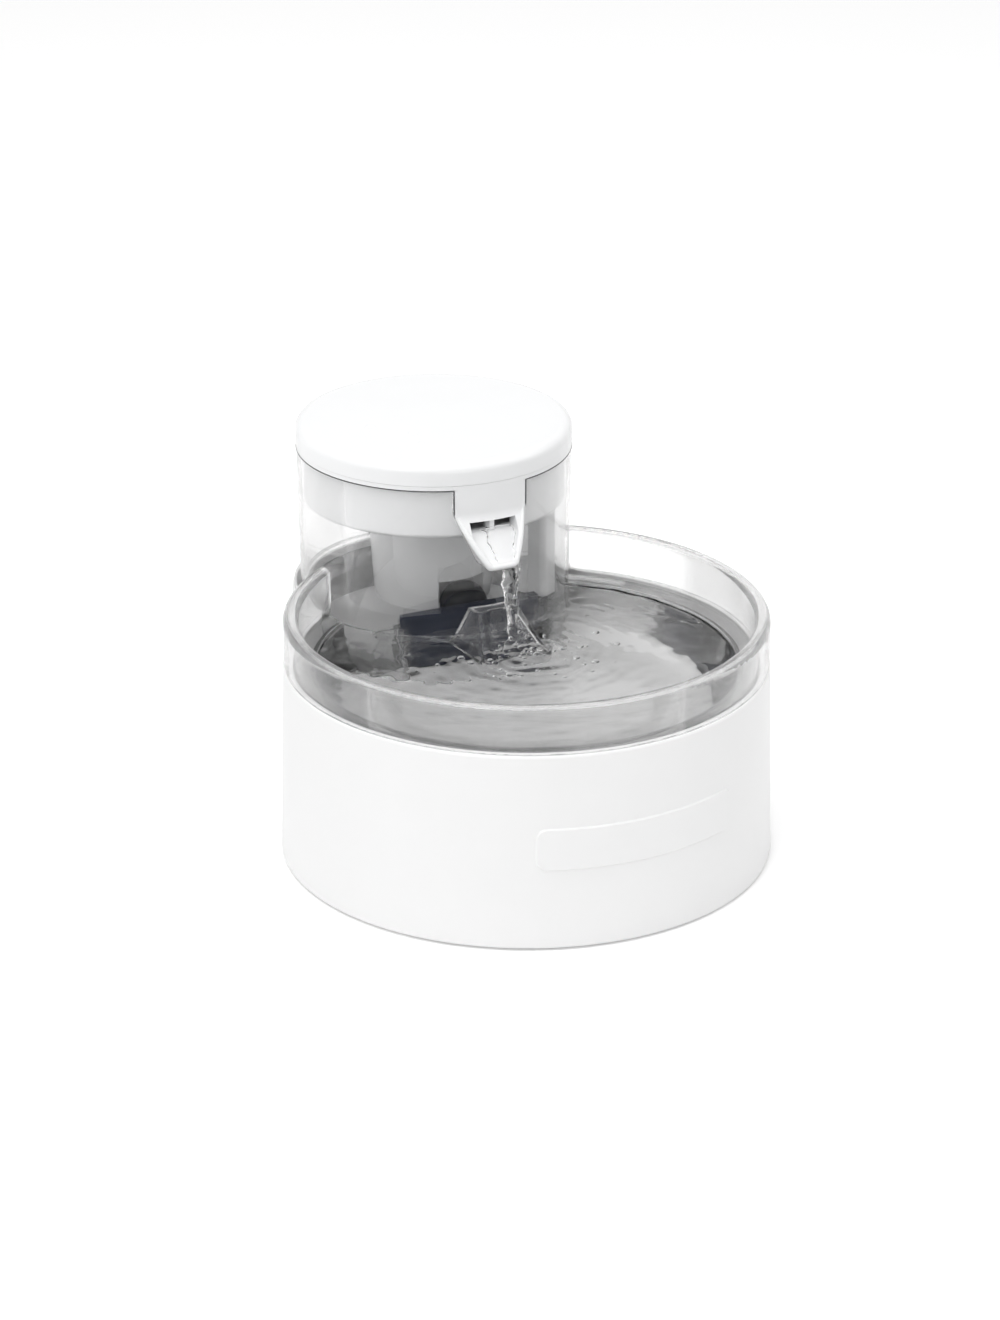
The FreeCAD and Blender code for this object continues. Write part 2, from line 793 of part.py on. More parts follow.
def board():
    plate = block(
        "board_plate", size["board_width"], size["board_depth"], size["board_wall"],
        0, board_y, board_low,
    )
    chip = block("board_chip", 8, 8, 1.4, -10, board_y, board_low + size["board_wall"])
    coil = cylinder("board_coil", 3.5, 5, 9, board_y - 6, board_low + size["board_wall"])
    keep("circuit_board", fuse("circuit_board", plate, chip, coil))
    screw_row("board_screws", board_spots(), board_low + size["board_wall"],
              board_low + size["board_wall"], 2.2, 1.0, 1.2, 1.2)

    case = block(
        "jack_case", size["jack_width"], size["jack_depth"], size["jack_height"],
        0, jack_front - size["jack_depth"] / 2, board_low + size["board_wall"],
    )
    bore = doc.addObject("Part::Cylinder", "jack_bore")
    bind(bore, Radius=size["jack_bore"], Height=size["jack_depth"] - 3)
    pin = doc.addObject("Part::Cylinder", "jack_pin")
    bind(pin, Radius=size["jack_pin"], Height=size["jack_depth"] - 4)
    lie = FreeCAD.Rotation(FreeCAD.Vector(1, 0, 0), -90)
    for obj, depth in ((bore, size["jack_depth"] - 3), (pin, size["jack_depth"] - 3)):
        place(obj, 0, jack_front - depth, jack_z)
        obj.Placement = FreeCAD.Placement(obj.Placement.Base, lie)
    keep("dc_power_jack", fuse("dc_power_jack", cut("jack_shell", case, bore), pin))


# Clear bowl
# Clear basin with a hollow rim that rests on the base's lip. It is open behind, where
# the tower is welded in.
def clear_bowl():
    body = new_body("bowl_round")
    wall = size["bowl_wall"]
    seat = size["base_height"]
    basin = sketch_on(body, "XZ_Plane", "basin_outside", y=bowl_y)
    outline(basin, [
        (0, floor_low),
        (size["basin_floor_radius"], floor_low, size["basin_corner"]),
        (size["basin_radius"] + wall, seat - 3.5),
        (size["rim_inner"] + wall, seat - 3.5),
        (size["rim_inner"] + wall, seat),
        (size["rim_radius"], seat),
        (size["rim_radius"], rim_top, size["rim_round"]),
        (size["rim_inner"], rim_top, size["rim_round"]),
        (size["rim_inner"], rim_top - 8),
        (0, rim_top - 8),
    ])
    turn_solid(body, basin, "basin_and_rim")
    hollow = sketch_on(body, "XZ_Plane", "basin_inside", y=bowl_y)
    outline(hollow, [
        (0, floor_top),
        (size["basin_floor_radius"] - wall * 0.8, floor_top, size["basin_corner"] - wall),
        (size["basin_radius"], seat - 1.8),
        (size["rim_inner"], seat - 0.6),
        (size["rim_inner"], rim_top),
        (0, rim_top),
    ])
    turn_hollow(body, hollow, "basin_hollow")
    channel = sketch_on(body, "XZ_Plane", "rim_inside", y=bowl_y)
    outline(channel, [
        (size["rim_inner"] + wall, seat - 1),
        (size["rim_radius"] - wall, seat - 1),
        (size["rim_radius"] - wall, rim_top - wall),
        (size["rim_inner"] + wall, rim_top - wall),
    ])
    turn_hollow(body, channel, "rim_channel")
    gap = size["weld_gap"]
    low = floor_low - 1
    top = rim_top + 1
    tower = cone(
        "bowl_tower_cut", tower_radius(low) + gap, tower_radius(top) + gap, top - low, 0, tower_y, low,
    )
    keep("clear_bowl", cut("clear_bowl", body, tower))


# Clear tower
# Round clear tube with a floor, welded into the bowl. Its front is notched for the
# spout and open below for the water. Inside stand the foam's guides and the pin's boss.
def clear_tower():
    body = new_body("clear_tower")
    wall = size["bowl_wall"]
    seat = size["base_height"]
    at_seat = tower_radius(seat)
    flange = sketch_on(body, "XZ_Plane", "tower_flange_plan", y=tower_y)
    outline(flange, [
        (at_seat - wall / 2, seat), (size["tower_flange"], seat), (size["tower_flange"], seat + wall),
        (at_seat - wall / 2, seat + wall),
    ])
    turn_solid(body, flange, "tower_flange")
    rim_room = sketch_on(body, "XY_Plane", "rim_room_plan", z=seat)
    circle(rim_room, 0, bowl_y, size["rim_radius"] + size["weld_gap"])
    pocket(body, rim_room, "rim_room", wall, reverse=True)
    tower = sketch_on(body, "XZ_Plane", "tower_outside", y=tower_y)
    outline(tower, [
        (0, floor_low),
        (size["tower_foot_radius"], floor_low),
        (at_seat, seat),
        (size["tower_radius"], size["tower_top"]),
        (0, size["tower_top"]),
    ])
    turn_solid(body, tower, "tower")
    chamber = sketch_on(body, "XZ_Plane", "tower_inside", y=tower_y)
    outline(chamber, [
        (0, floor_top),
        (size["tower_foot_radius"] - wall, floor_top),
        (at_seat - wall, seat),
        (size["tower_radius"] - wall, size["tower_top"] + 0.01),
        (0, size["tower_top"] + 0.01),
    ])
    turn_hollow(body, chamber, "tower_hollow")
    notch = sketch_on(body, "XZ_Plane", "spout_notch_plan", y=tower_y - size["tower_radius"] * 0.6)
    spout_outline(notch, size["notch_gap"], size["tower_top"] + 1)
    pad_length = size["tower_radius"] * 0.6
    pocket(body, notch, "spout_notch", pad_length, reverse=True)
    window = sketch_on(body, "XZ_Plane", "water_window_plan", y=foam_y - size["foam_wall"])
    half = size["window_width"] / 2
    outline(window, [
        (-half, floor_top), (half, floor_top), (half, size["window_top"], 2), (-half, size["window_top"], 2),
    ])
    pocket(body, window, "water_window", pad_length, reverse=True)
    guides = sketch_on(body, "XY_Plane", "foam_guide_plan", z=floor_top - 0.5)
    for sign in (-1, 1):
        guide_outline(guides, sign)
    pad(body, guides, "foam_guides", size["guide_top"] - floor_top + 0.5)
    boss = sketch_on(body, "XY_Plane", "pin_boss_plan", z=floor_top - 0.5)
    circle(boss, pump_x, pump_y, pin_boss)
    pad(body, boss, "pin_boss", pin_boss_height + 0.5)
    hole = sketch_on(body, "XY_Plane", "pin_hole_plan", z=floor_top)
    circle(hole, pump_x, pump_y, size["pin_radius"])
    pocket(body, hole, "pin_hole", pin_boss_height, reverse=True)
    keep("clear_tower", body)


def tower_radius(height):
    """The tower's outer radius at a height."""
    return size["tower_foot_radius"] + tower_slope * (height - floor_low)


def guide_outline(sketch, sign):
    """Plan of one foam guide: a slot that faces inwards and a web to the tower's wall."""
    end = size["foam_width"] / 2 + size["foam_gap"]
    front = foam_y - size["foam_wall"] / 2 - size["foam_gap"]
    back = foam_y + size["foam_wall"] / 2 + size["foam_gap"]
    wall = size["guide_wall"]
    grip = end - 3
    reach = root(
        (size["tower_foot_radius"] - size["bowl_wall"] / 2) * (size["tower_foot_radius"] - size["bowl_wall"] / 2)
        - size["foam_ahead"] * size["foam_ahead"]
    )
    web_front = foam_y - wall / 2
    web_back = foam_y + wall / 2
    corners = [
        (grip, front - wall), (end + wall, front - wall), (end + wall, web_front), (reach, web_front),
        (reach, web_back), (end + wall, web_back), (end + wall, back + wall), (grip, back + wall),
        (grip, back), (end, back), (end, front), (grip, front),
    ]
    outline(sketch, [(sign * x, y) for x, y in corners])


def spout_outline(sketch, gap, top):
    """Front view of the spout's tab: straight sides that curve in to a narrow lip."""
    half = size["spout_width"] / 2 + gap
    lip = size["spout_lip_width"] / 2 + gap
    foot = size["spout_foot"] - gap
    outline(sketch, [
        (-half, top), (-half, size["spout_shoulder"], 12), (-lip - 1.5, foot + 7, 9), (-lip + 2, foot, 4),
        (lip - 2, foot, 4), (lip + 1.5, foot + 7, 9), (half, size["spout_shoulder"], 12), (half, top),
    ])


head_height = Dim.of(1.6)
pin_boss = Dim.of(3.0)
pin_boss_height = Dim.of(1.2)
board_post = Dim.of(3.0)
board_low = size["foot_stand"] + size["cover_wall"] + size["board_height"]
jack_front = tower_y + lobe_radius(jack_z) - size["skirt_wall"] - 0.6
board_y = jack_front - size["board_depth"] / 2 - size["jack_overhang"]
motor_top = deck_low - size["bracket_drop"] - size["bracket_wall"]
motor_low = motor_top - size["motor_length"]
hub_low = deck_low - size["hub_deck_gap"] - size["hub_wall"]
bottom_cover()
feet()
screw_row(
    "base_screws", screw_spots(), size["foot_stand"], size["foot_stand"], size["screw_head"],
    size["screw_shank"], head_height, 12,
)
drive()
board()
clear_bowl()
clear_tower()


# Pump
# The black column holds the impeller at its foot and takes water through its slots.
# Its round top is the grip that pulls it off.
def pump_cover():
    body = new_body("pump_cover")
    wall = size["pump_wall"]
    radius = size["pump_radius"]
    divide = floor_top + size["chamber_height"]
    outside = sketch_on(body, "XZ_Plane", "pump_outside", x=pump_x, y=pump_y)
    outline(outside, [
        (0, floor_top), (radius, floor_top), (radius, size["pump_top"], radius * 0.97), (0, size["pump_top"]),
    ])
    turn_solid(body, outside, "pump_column")
    inside = sketch_on(body, "XZ_Plane", "pump_inside", x=pump_x, y=pump_y)
    bore = radius - wall
    outline(inside, [
        (0, floor_top), (bore, floor_top), (bore, divide), (size["eye_radius"], divide),
        (size["eye_radius"], divide + wall), (bore, divide + wall),
        (bore, size["pump_top"] - bore), (bore * 0.7, size["pump_top"] - bore * 0.45),
        (0, size["pump_top"] - wall),
    ])
    turn_hollow(body, inside, "pump_hollow")
    slot = sketch_on(body, "XZ_Plane", "intake_plan", x=pump_x, y=pump_y)
    outline(slot, [
        (-1.2, divide + 5), (1.2, divide + 5), (1.2, divide + 25), (-1.2, divide + 25),
    ])
    pocket(body, slot, "intake_slot", radius + 1, reverse=True)
    slots = body.newObject("PartDesign::PolarPattern", "intake_slots")
    slots.Originals = [body.Tip]
    slots.Axis = (outside, ["V_Axis"])
    slots.Angle = 360
    slots.Occurrences = 8
    body.Tip = slots
    doc.recompute()
    port = sketch_on(body, "YZ_Plane", "outlet_port_plan", x=pump_x, y=pump_y)
    outline(port, [
        (-port_half, port_low, 1), (port_half, port_low, 1), (port_half, port_high, 1), (-port_half, port_high, 1),
    ])
    pocket(body, port, "outlet_port", radius + 1, reverse=True)
    keep("pump_cover", body)


def riser_plan(sketch, inset):
    """Rounded oblong section of the riser, drawn about its own centre."""
    half = size["riser_width"] / 2 - inset
    deep = size["riser_depth"] / 2 - inset
    bend = 3.2 - inset
    outline(sketch, [(-half, -deep, bend), (half, -deep, bend), (half, deep, bend), (-half, deep, bend)])


def outlet_duct():
    body = new_body("outlet_duct")
    wall = size["riser_wall"]
    top = size["riser_foot"] - size["riser_seal_wall"] - 0.3
    turn = size["riser_turn"].value
    outer = sketch_on(body, "XY_Plane", "socket_plan", x=riser_x, y=riser_y, z=floor_top, turn=turn)
    riser_plan(outer, Dim.of(0))
    pad(body, outer, "socket", top - floor_top)
    run = sketch_on(body, "XY_Plane", "run_plan", z=floor_top)
    left = pump_x + size["pump_radius"] * 0.6
    half = port_half + wall
    outline(run, [
        (left, pump_y - half), (riser_x, pump_y - half), (riser_x, pump_y + half), (left, pump_y + half),
    ])
    pad(body, run, "run", port_high + wall - floor_top)
    inner = sketch_on(body, "XY_Plane", "socket_bore_plan", x=riser_x, y=riser_y, z=port_low, turn=turn)
    riser_plan(inner, wall)
    pocket(body, inner, "socket_bore", top - port_low, reverse=True)
    tunnel = sketch_on(body, "YZ_Plane", "run_bore_plan", x=left, y=pump_y)
    outline(tunnel, [
        (-port_half, port_low), (port_half, port_low), (port_half, port_high), (-port_half, port_high),
    ])
    pocket(body, tunnel, "run_bore", riser_x - left, reverse=True)
    round_pump = sketch_on(body, "XY_Plane", "pump_clearance_plan", z=floor_top)
    circle(round_pump, pump_x, pump_y, size["pump_radius"] + 0.1)
    pocket(body, round_pump, "pump_clearance", size["chamber_height"] + 8, reverse=True)
    keep("outlet_duct", body)


def tube_of_riser(node, low, high):
    body = new_body(node)
    turn = size["riser_turn"].value
    outer = sketch_on(body, "XY_Plane", node + "_plan", x=riser_x, y=riser_y, z=low, turn=turn)
    riser_plan(outer, Dim.of(0))
    pad(body, outer, node + "_outside", high - low)
    inner = sketch_on(body, "XY_Plane", node + "_bore_plan", x=riser_x, y=riser_y, z=low, turn=turn)
    riser_plan(inner, size["riser_wall"])
    pocket(body, inner, node + "_bore", high - low, reverse=True)
    keep(node, body)


def impeller():
    pin = cylinder("impeller_pin", size["pin_radius"], size["pin_length"], pump_x, pump_y, floor_top)
    keep("impeller_pin", pin)
    low = floor_top + pin_boss_height + 0.4
    disc_low = low + size["ring_magnet_height"]
    hub_radius = size["pin_radius"] + size["bush_wall"] + 1.2
    height = size["ring_magnet_height"] + 1.2 + size["vane_height"]
    hub = cylinder("rotor_hub", hub_radius, height, pump_x, pump_y, low)
    disc = cylinder("rotor_disc", size["rotor_radius"], 1.2, pump_x, pump_y, disc_low)
    vanes = []
    for number in range(6):
        turn = 60.0 * number
        root_radius = hub_radius - 0.5
        tip_radius = size["rotor_radius"] - 0.4
        middle = (tip_radius + root_radius) / 2
        x = pump_x + middle * math.cos(math.radians(turn))
        y = pump_y + middle * math.sin(math.radians(turn))
        length = tip_radius - root_radius
        vanes.append(
            block("rotor_vane_%d" % number, length, 1.2, size["vane_height"], x, y, disc_low + 1.2, turn)
        )
    solid = fuse("rotor_solid", hub, disc, *vanes)
    bush_radius = size["pin_radius"] + size["bush_wall"]
    bore = cylinder("rotor_bore", bush_radius, height, pump_x, pump_y, low)
    keep("impeller_rotor", cut("impeller_rotor", solid, bore))
    ring = cylinder("ring_magnet", size["ring_magnet_radius"], size["ring_magnet_height"], pump_x, pump_y, low)
    hole = cylinder("ring_magnet_bore", hub_radius, size["ring_magnet_height"], pump_x, pump_y, low)
    keep("impeller_magnet", cut("impeller_magnet", ring, hole))
    sleeve = cylinder("bush_sleeve", bush_radius, height, pump_x, pump_y, low)
    running = size["pin_radius"] + size["running_gap"]
    sleeve_bore = cylinder("bush_bore", running, height, pump_x, pump_y, low)
    keep("impeller_bush", cut("impeller_bush", sleeve, sleeve_bore))


def foam():
    strip = block(
        "foam_filter", size["foam_width"], size["foam_wall"], size["foam_top"] - floor_top - size["foam_gap"],
        0, foam_y, floor_top + size["foam_gap"],
    )
    keep("foam_filter", strip)


# Spout basin
# White drum that hangs in the tower by its flange. Its front grows into the spout:
# a tab that fills the tower's notch, a divided slot and a scooped lip.
def spout_basin():
    wall = size["drum_wall"]
    floor = size["drum_floor"]
    low = size["tower_top"]
    drum = new_body("drum")
    profile = sketch_on(drum, "XZ_Plane", "drum_profile", y=tower_y)
    step = drum_radius + size["drum_step"]
    outline(profile, [
        (0, floor), (drum_radius, floor, 2.4), (drum_radius, low - 4), (step, low - 4), (step, low),
        (size["flange_radius"], low), (size["flange_radius"], flange_top), (drum_radius - wall, flange_top),
        (drum_radius - wall, floor + wall), (0, floor + wall),
    ])
    turn_solid(drum, profile, "drum_and_flange")
    cup_hole = sketch_on(drum, "XY_Plane", "cup_hole_plan", z=floor)
    circle(cup_hole, 0, cup_y, size["cup_radius"] + 0.5)
    pocket(drum, cup_hole, "cup_hole", wall, reverse=True)
    riser_hole = sketch_on(
        drum, "XY_Plane", "riser_hole_plan", x=riser_x, y=riser_y, z=floor, turn=size["riser_turn"].value,
    )
    riser_plan(riser_hole, size["riser_wall"])
    pocket(drum, riser_hole, "riser_hole", wall, reverse=True)

    front = size["tower_radius"]
    lip = front + size["spout_reach"]
    foot = size["spout_foot"]
    ring = new_body("spout_ring")
    side = sketch_on(ring, "XZ_Plane", "spout_side", y=tower_y)
    outline(side, [
        (drum_radius - wall / 2, flange_top), (drum_radius - wall / 2, floor + 1), (drum_radius + 0.6, floor - 2),
        (drum_radius + 0.6, foot), (lip - 3, foot, 3), (lip, foot + 4, 2.2), (front, size["slot_high"] + 2, 8),
        (front, flange_top),
    ])
    turn_solid(ring, side, "spout_round")
    tab = new_body("spout_tab")
    view = sketch_on(tab, "XZ_Plane", "spout_front", y=tower_y - size["tower_radius"] * 0.6)
    spout_outline(view, Dim.of(0), flange_top)
    pad(tab, view, "spout_block", size["tower_radius"] * 0.4 + size["spout_reach"] + 10)
    spout = common("spout_form", ring, tab)

    trough = new_body("trough_ring")
    path = sketch_on(trough, "XZ_Plane", "trough_side", y=tower_y)
    inner = drum_radius - wall - 3
    outline(path, [
        (inner, size["slot_low"]), (front - 2, size["slot_low"], 5), (lip - 1.6, foot + 5.2, 5),
        (lip + 4, foot + 3.6), (lip + 4, size["slot_high"]), (inner, size["slot_high"]),
    ])
    turn_solid(trough, path, "trough_round")
    slot = new_body("trough_tab")
    mouth = sketch_on(slot, "XZ_Plane", "trough_front", y=tower_y - size["tower_radius"] * 0.6)
    half = size["slot_width"] / 2
    lip_half = size["spout_lip_width"] / 2 - 2.4
    outline(mouth, [
        (-half, size["slot_high"] + 1), (-half, size["slot_low"] - 2, 7), (-lip_half, foot + 2),
        (lip_half, foot + 2), (half, size["slot_low"] - 2, 7), (half, size["slot_high"] + 1),
    ])
    pad(slot, mouth, "trough_block", size["tower_radius"] * 0.4 + size["spout_reach"] + 12)
    channel = common("trough_form", trough, slot)
    rib = block(
        "slot_rib", size["slot_rib"], 8, size["slot_high"] - size["slot_low"] + 1,
        0, tower_y - front + 4.6, size["slot_low"] - 0.5,
    )
    shell = cut("spout_cut", fuse("drum_with_spout", drum, spout), channel)
    keep("spout_basin", fuse("spout_basin", shell, rib))


# Filter cup
# White tapered cup through the drum's floor, with a niche that clears the pump's top
# and small drain holes in its bottom.
def cup_radius_at(height):
    rise = size["drum_floor"] + size["drum_wall"] - size["cup_foot"]
    return size["cup_foot_radius"] + (size["cup_radius"] - size["cup_foot_radius"]) * (height - size["cup_foot"]) / rise


def filter_cup():
    wall = size["cup_wall"]
    foot = size["cup_foot"]
    top = size["drum_floor"] + size["drum_wall"]
    outside = cone("cup_outside", size["cup_foot_radius"], size["cup_radius"], top - foot, 0, cup_y, foot)
    flange = cylinder("cup_flange", size["cup_radius"] + size["cup_flange"], 1.6, 0, cup_y, top)
    niche_radius = size["pump_radius"] + size["niche_gap"]
    niche = cylinder("cup_niche", niche_radius, size["niche_top"] - foot + 1, pump_x, pump_y, foot - 1)
    body = cut("cup_body", fuse("cup_solid", outside, flange), niche)
    hollow = cone(
        "cup_inside", cup_radius_at(foot + wall) - wall, size["cup_radius"] - wall,
        top - foot - wall, 0, cup_y, foot + wall,
    )
    mouth = cylinder("cup_mouth", size["cup_radius"] - wall, 2, 0, cup_y, top - 0.01)
    shield = cylinder(
        "cup_niche_wall", niche_radius + wall, size["niche_top"] - foot + wall + 1, pump_x, pump_y, foot - 1,
    )
    drains = []
    for number in range(7):
        angle = math.radians(15 + 25 * number)
        reach = size["cup_foot_radius"] * 0.62
        x = reach * math.cos(angle)
        y = cup_y + reach * math.sin(angle)
        drains.append(cylinder("cup_drain_%d" % number, 1.8, wall + 2, x, y, foot - 1))
    space = cut("cup_space", fuse("cup_hollow", hollow, mouth), shield)
    keep("filter_cup", cut("filter_cup", cut("cup_shell", body, space), fuse("cup_drains", *drains)))


# Filter cartridge
# White slotted basket of granules that drops into the cup, with a loop to lift it by.
def cartridge():
    body = new_body("filter_case")
    low = size["niche_top"] + size["cup_wall"] + 0.3
    top = low + size["case_height"]
    wall = size["case_wall"]
    low_radius = cup_radius_at(low) - size["cup_wall"] - size["case_gap"]
    top_radius = cup_radius_at(top) - size["cup_wall"] - size["case_gap"]
    profile = sketch_on(body, "XZ_Plane", "case_profile", y=cup_y)
    outline(profile, [(0, low), (low_radius, low, 2), (top_radius, top), (0, top)])
    turn_solid(body, profile, "case_solid")
    inside = sketch_on(body, "XZ_Plane", "case_inside", y=cup_y)
    outline(inside, [
        (0, low + wall), (low_radius - wall, low + wall), (top_radius - wall, top - wall), (0, top - wall),
    ])
    turn_hollow(body, inside, "case_hollow")
    window = sketch_on(body, "XZ_Plane", "case_slot_plan", y=cup_y)
    outline(window, [
        (-1.6, low + 6), (1.6, low + 6), (1.6, top - 8), (-1.6, top - 8),
    ])
    pocket(body, window, "case_slot", top_radius + 2, reverse=True)
    slots = body.newObject("PartDesign::PolarPattern", "case_slots")
    slots.Originals = [body.Tip]
    slots.Axis = (profile, ["V_Axis"])
    slots.Angle = 360
    slots.Occurrences = 16
    body.Tip = slots
    doc.recompute()
    loop = sketch_on(body, "XZ_Plane", "case_loop_plan", y=cup_y + 4)
    rise = size["case_loop"]
    outline(loop, [
        (-14, top - 0.5), (-10, top + rise, 5), (10, top + rise, 5), (14, top - 0.5), (11, top - 0.5),
        (8, top + rise - 3, 3), (-8, top + rise - 3, 3), (-11, top - 0.5),
    ])
    pad(body, loop, "case_loop", 8)
    keep("filter_case", body)
    core = cone(
        "carbon_core", low_radius - wall - 0.2, top_radius - wall - 0.2, size["case_height"] - 2 * wall - 0.4,
        0, cup_y, low + wall + 0.2,
    )
    keep("carbon_core", core)


# Lid
# White cap that stands on the flange, with a ring and a seal that drop into the drum.
def lid():
    body = new_body("lid_cap")
    low = flange_top + size["lid_seam"]
    top = flange_top + size["lid_height"]
    wall = size["lid_wall"]
    radius = size["lid_radius"]
    ring = drum_radius - size["drum_wall"] - size["lid_ring_gap"]
    ring_low = flange_top - size["lid_ring_depth"]
    seal = size["seal_width"]
    gap = size["seal_gap"]
    seal_low = ring_low + seal
    groove = ring - seal
    profile = sketch_on(body, "XZ_Plane", "lid_profile", y=tower_y)
    outline(profile, [
        (0, top - wall), (ring - 2 * seal, top - wall), (ring - 2 * seal, ring_low), (ring, ring_low),
        (ring, seal_low - gap), (groove, seal_low - gap), (groove, seal_low + seal + gap),
        (ring, seal_low + seal + gap), (ring, top - wall), (radius - wall, top - wall),
        (radius - wall, low), (radius, low), (radius, top, size["lid_round"]), (0, top),
    ])
    turn_solid(body, profile, "cap")
    keep("tower_lid", body)
    band = cylinder("seal_outside", ring + 2 * gap, seal, 0, tower_y, seal_low)
    bore = cylinder("seal_inside", groove + gap, seal, 0, tower_y, seal_low)
    keep("lid_seal", cut("lid_seal", band, bore))


# Splash ramp
# Clear hood on the tower's front. Its hollowed front face takes the falling stream.
def ramp_plan(sketch, width, reach, dip, inset):
    """One level of the ramp: a flared oblong whose front edge is hollow."""
    half = width / 2 - inset
    back = tower_y - size["tower_radius"] + 6
    face = tower_y - size["tower_radius"] - reach + inset
    outline(sketch, [
        (half, back), (-half, back), (-half * 0.86, face, 3 - inset * 0.5), (-half * 0.5, face),
        (-half * 0.22, face + dip, 4), (half * 0.22, face + dip, 4), (half * 0.5, face),
        (half * 0.86, face, 3 - inset * 0.5),
    ])


def splash_ramp():
    body = new_body("ramp_hood")
    foot = size["ramp_foot"]
    top = size["ramp_top"]
    wall = size["ramp_wall"]
    for kind, name, low, high, inset in (
        ("AdditiveLoft", "ramp_outside", foot, top, Dim.of(0)),
        ("SubtractiveLoft", "ramp_inside", foot, top - wall, wall),
    ):
        foot_plan = sketch_on(body, "XY_Plane", name + "_foot", z=low)
        ramp_plan(foot_plan, size["ramp_foot_width"], size["ramp_reach"], 3.4, inset)
        top_plan = sketch_on(body, "XY_Plane", name + "_top", z=high)
        reach = size["ramp_reach"] * 0.22
        ramp_plan(top_plan, size["ramp_top_width"], reach, 2.0, inset)
        feature = body.newObject("PartDesign::" + kind, name)
        feature.Profile = foot_plan
        feature.Sections = [top_plan]
        feature.Ruled = True
        doc.recompute()
    gap = size["ramp_gap"]
    tower = cone(
        "ramp_tower_cut", tower_radius(foot - 1) + gap, tower_radius(top + 1) + gap, top - foot + 2,
        0, tower_y, foot - 1,
    )
    keep("splash_ramp", cut("splash_ramp", body, tower))


port_half = Dim.of(4.5)
port_low = floor_top + size["riser_wall"]
port_high = port_low + 10
pump_cover()
outlet_duct()
tube_of_riser("riser_duct", size["riser_foot"], size["drum_floor"])
tube_of_riser("riser_seal", size["riser_foot"] - size["riser_seal_wall"], size["riser_foot"])
impeller()
foam()
spout_basin()
filter_cup()
cartridge()
lid()
splash_ramp()


def check_written():
    """Stops on any object that failed and writes each piece to its own file."""
    doc.recompute()
    for obj in doc.Objects:
        if "Invalid" in obj.State or "Error" in obj.State:
            raise ValueError("%s is %s" % (obj.Name, obj.State))
    os.makedirs("parts", exist_ok=True)
    for node, obj in parts.items():
        shape = obj.Shape
        if shape.isNull() or not shape.isValid():
            raise ValueError(node + " has no valid shape")
        shape.exportStep("parts/%s.step" % node)
        print(node, len(shape.Solids), round(shape.Volume / 1000, 2))


check_written()
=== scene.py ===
import math
import random

import bmesh
import bpy
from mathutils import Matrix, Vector, noise


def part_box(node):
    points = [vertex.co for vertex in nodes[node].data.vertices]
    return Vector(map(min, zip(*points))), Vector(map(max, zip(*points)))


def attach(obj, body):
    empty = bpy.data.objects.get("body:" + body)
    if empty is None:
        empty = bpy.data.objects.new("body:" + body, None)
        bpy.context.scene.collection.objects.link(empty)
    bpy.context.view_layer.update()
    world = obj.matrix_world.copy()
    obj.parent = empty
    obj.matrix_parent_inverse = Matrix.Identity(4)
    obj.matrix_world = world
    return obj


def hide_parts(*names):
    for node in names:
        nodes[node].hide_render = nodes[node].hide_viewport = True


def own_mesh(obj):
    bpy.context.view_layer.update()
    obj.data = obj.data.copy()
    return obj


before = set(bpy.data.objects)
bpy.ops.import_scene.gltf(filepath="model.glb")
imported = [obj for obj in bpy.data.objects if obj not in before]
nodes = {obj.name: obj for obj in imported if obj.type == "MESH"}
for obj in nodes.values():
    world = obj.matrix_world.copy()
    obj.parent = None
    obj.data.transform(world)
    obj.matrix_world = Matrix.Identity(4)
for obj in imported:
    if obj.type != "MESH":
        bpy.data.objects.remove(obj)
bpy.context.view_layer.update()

# Base. A deep white skirt with a deck welded inside and a cover screwed on below, all
# injection moulded and satin from the tool. The skirt's lip carries the clear bowl.
mm = 0.001
bowl_y = -32.15 * mm
tower_y = 82.15 * mm


def maths(tree, operation, *inputs):
    """Output of a math node. Each input is a number or another node's output."""
    node = tree.nodes.new("ShaderNodeMath")
    node.operation = operation
    for socket, value in zip(node.inputs, inputs):
        if isinstance(value, bpy.types.NodeSocket):
            tree.links.new(value, socket)
        else:
            socket.default_value = value
    return node.outputs[0]


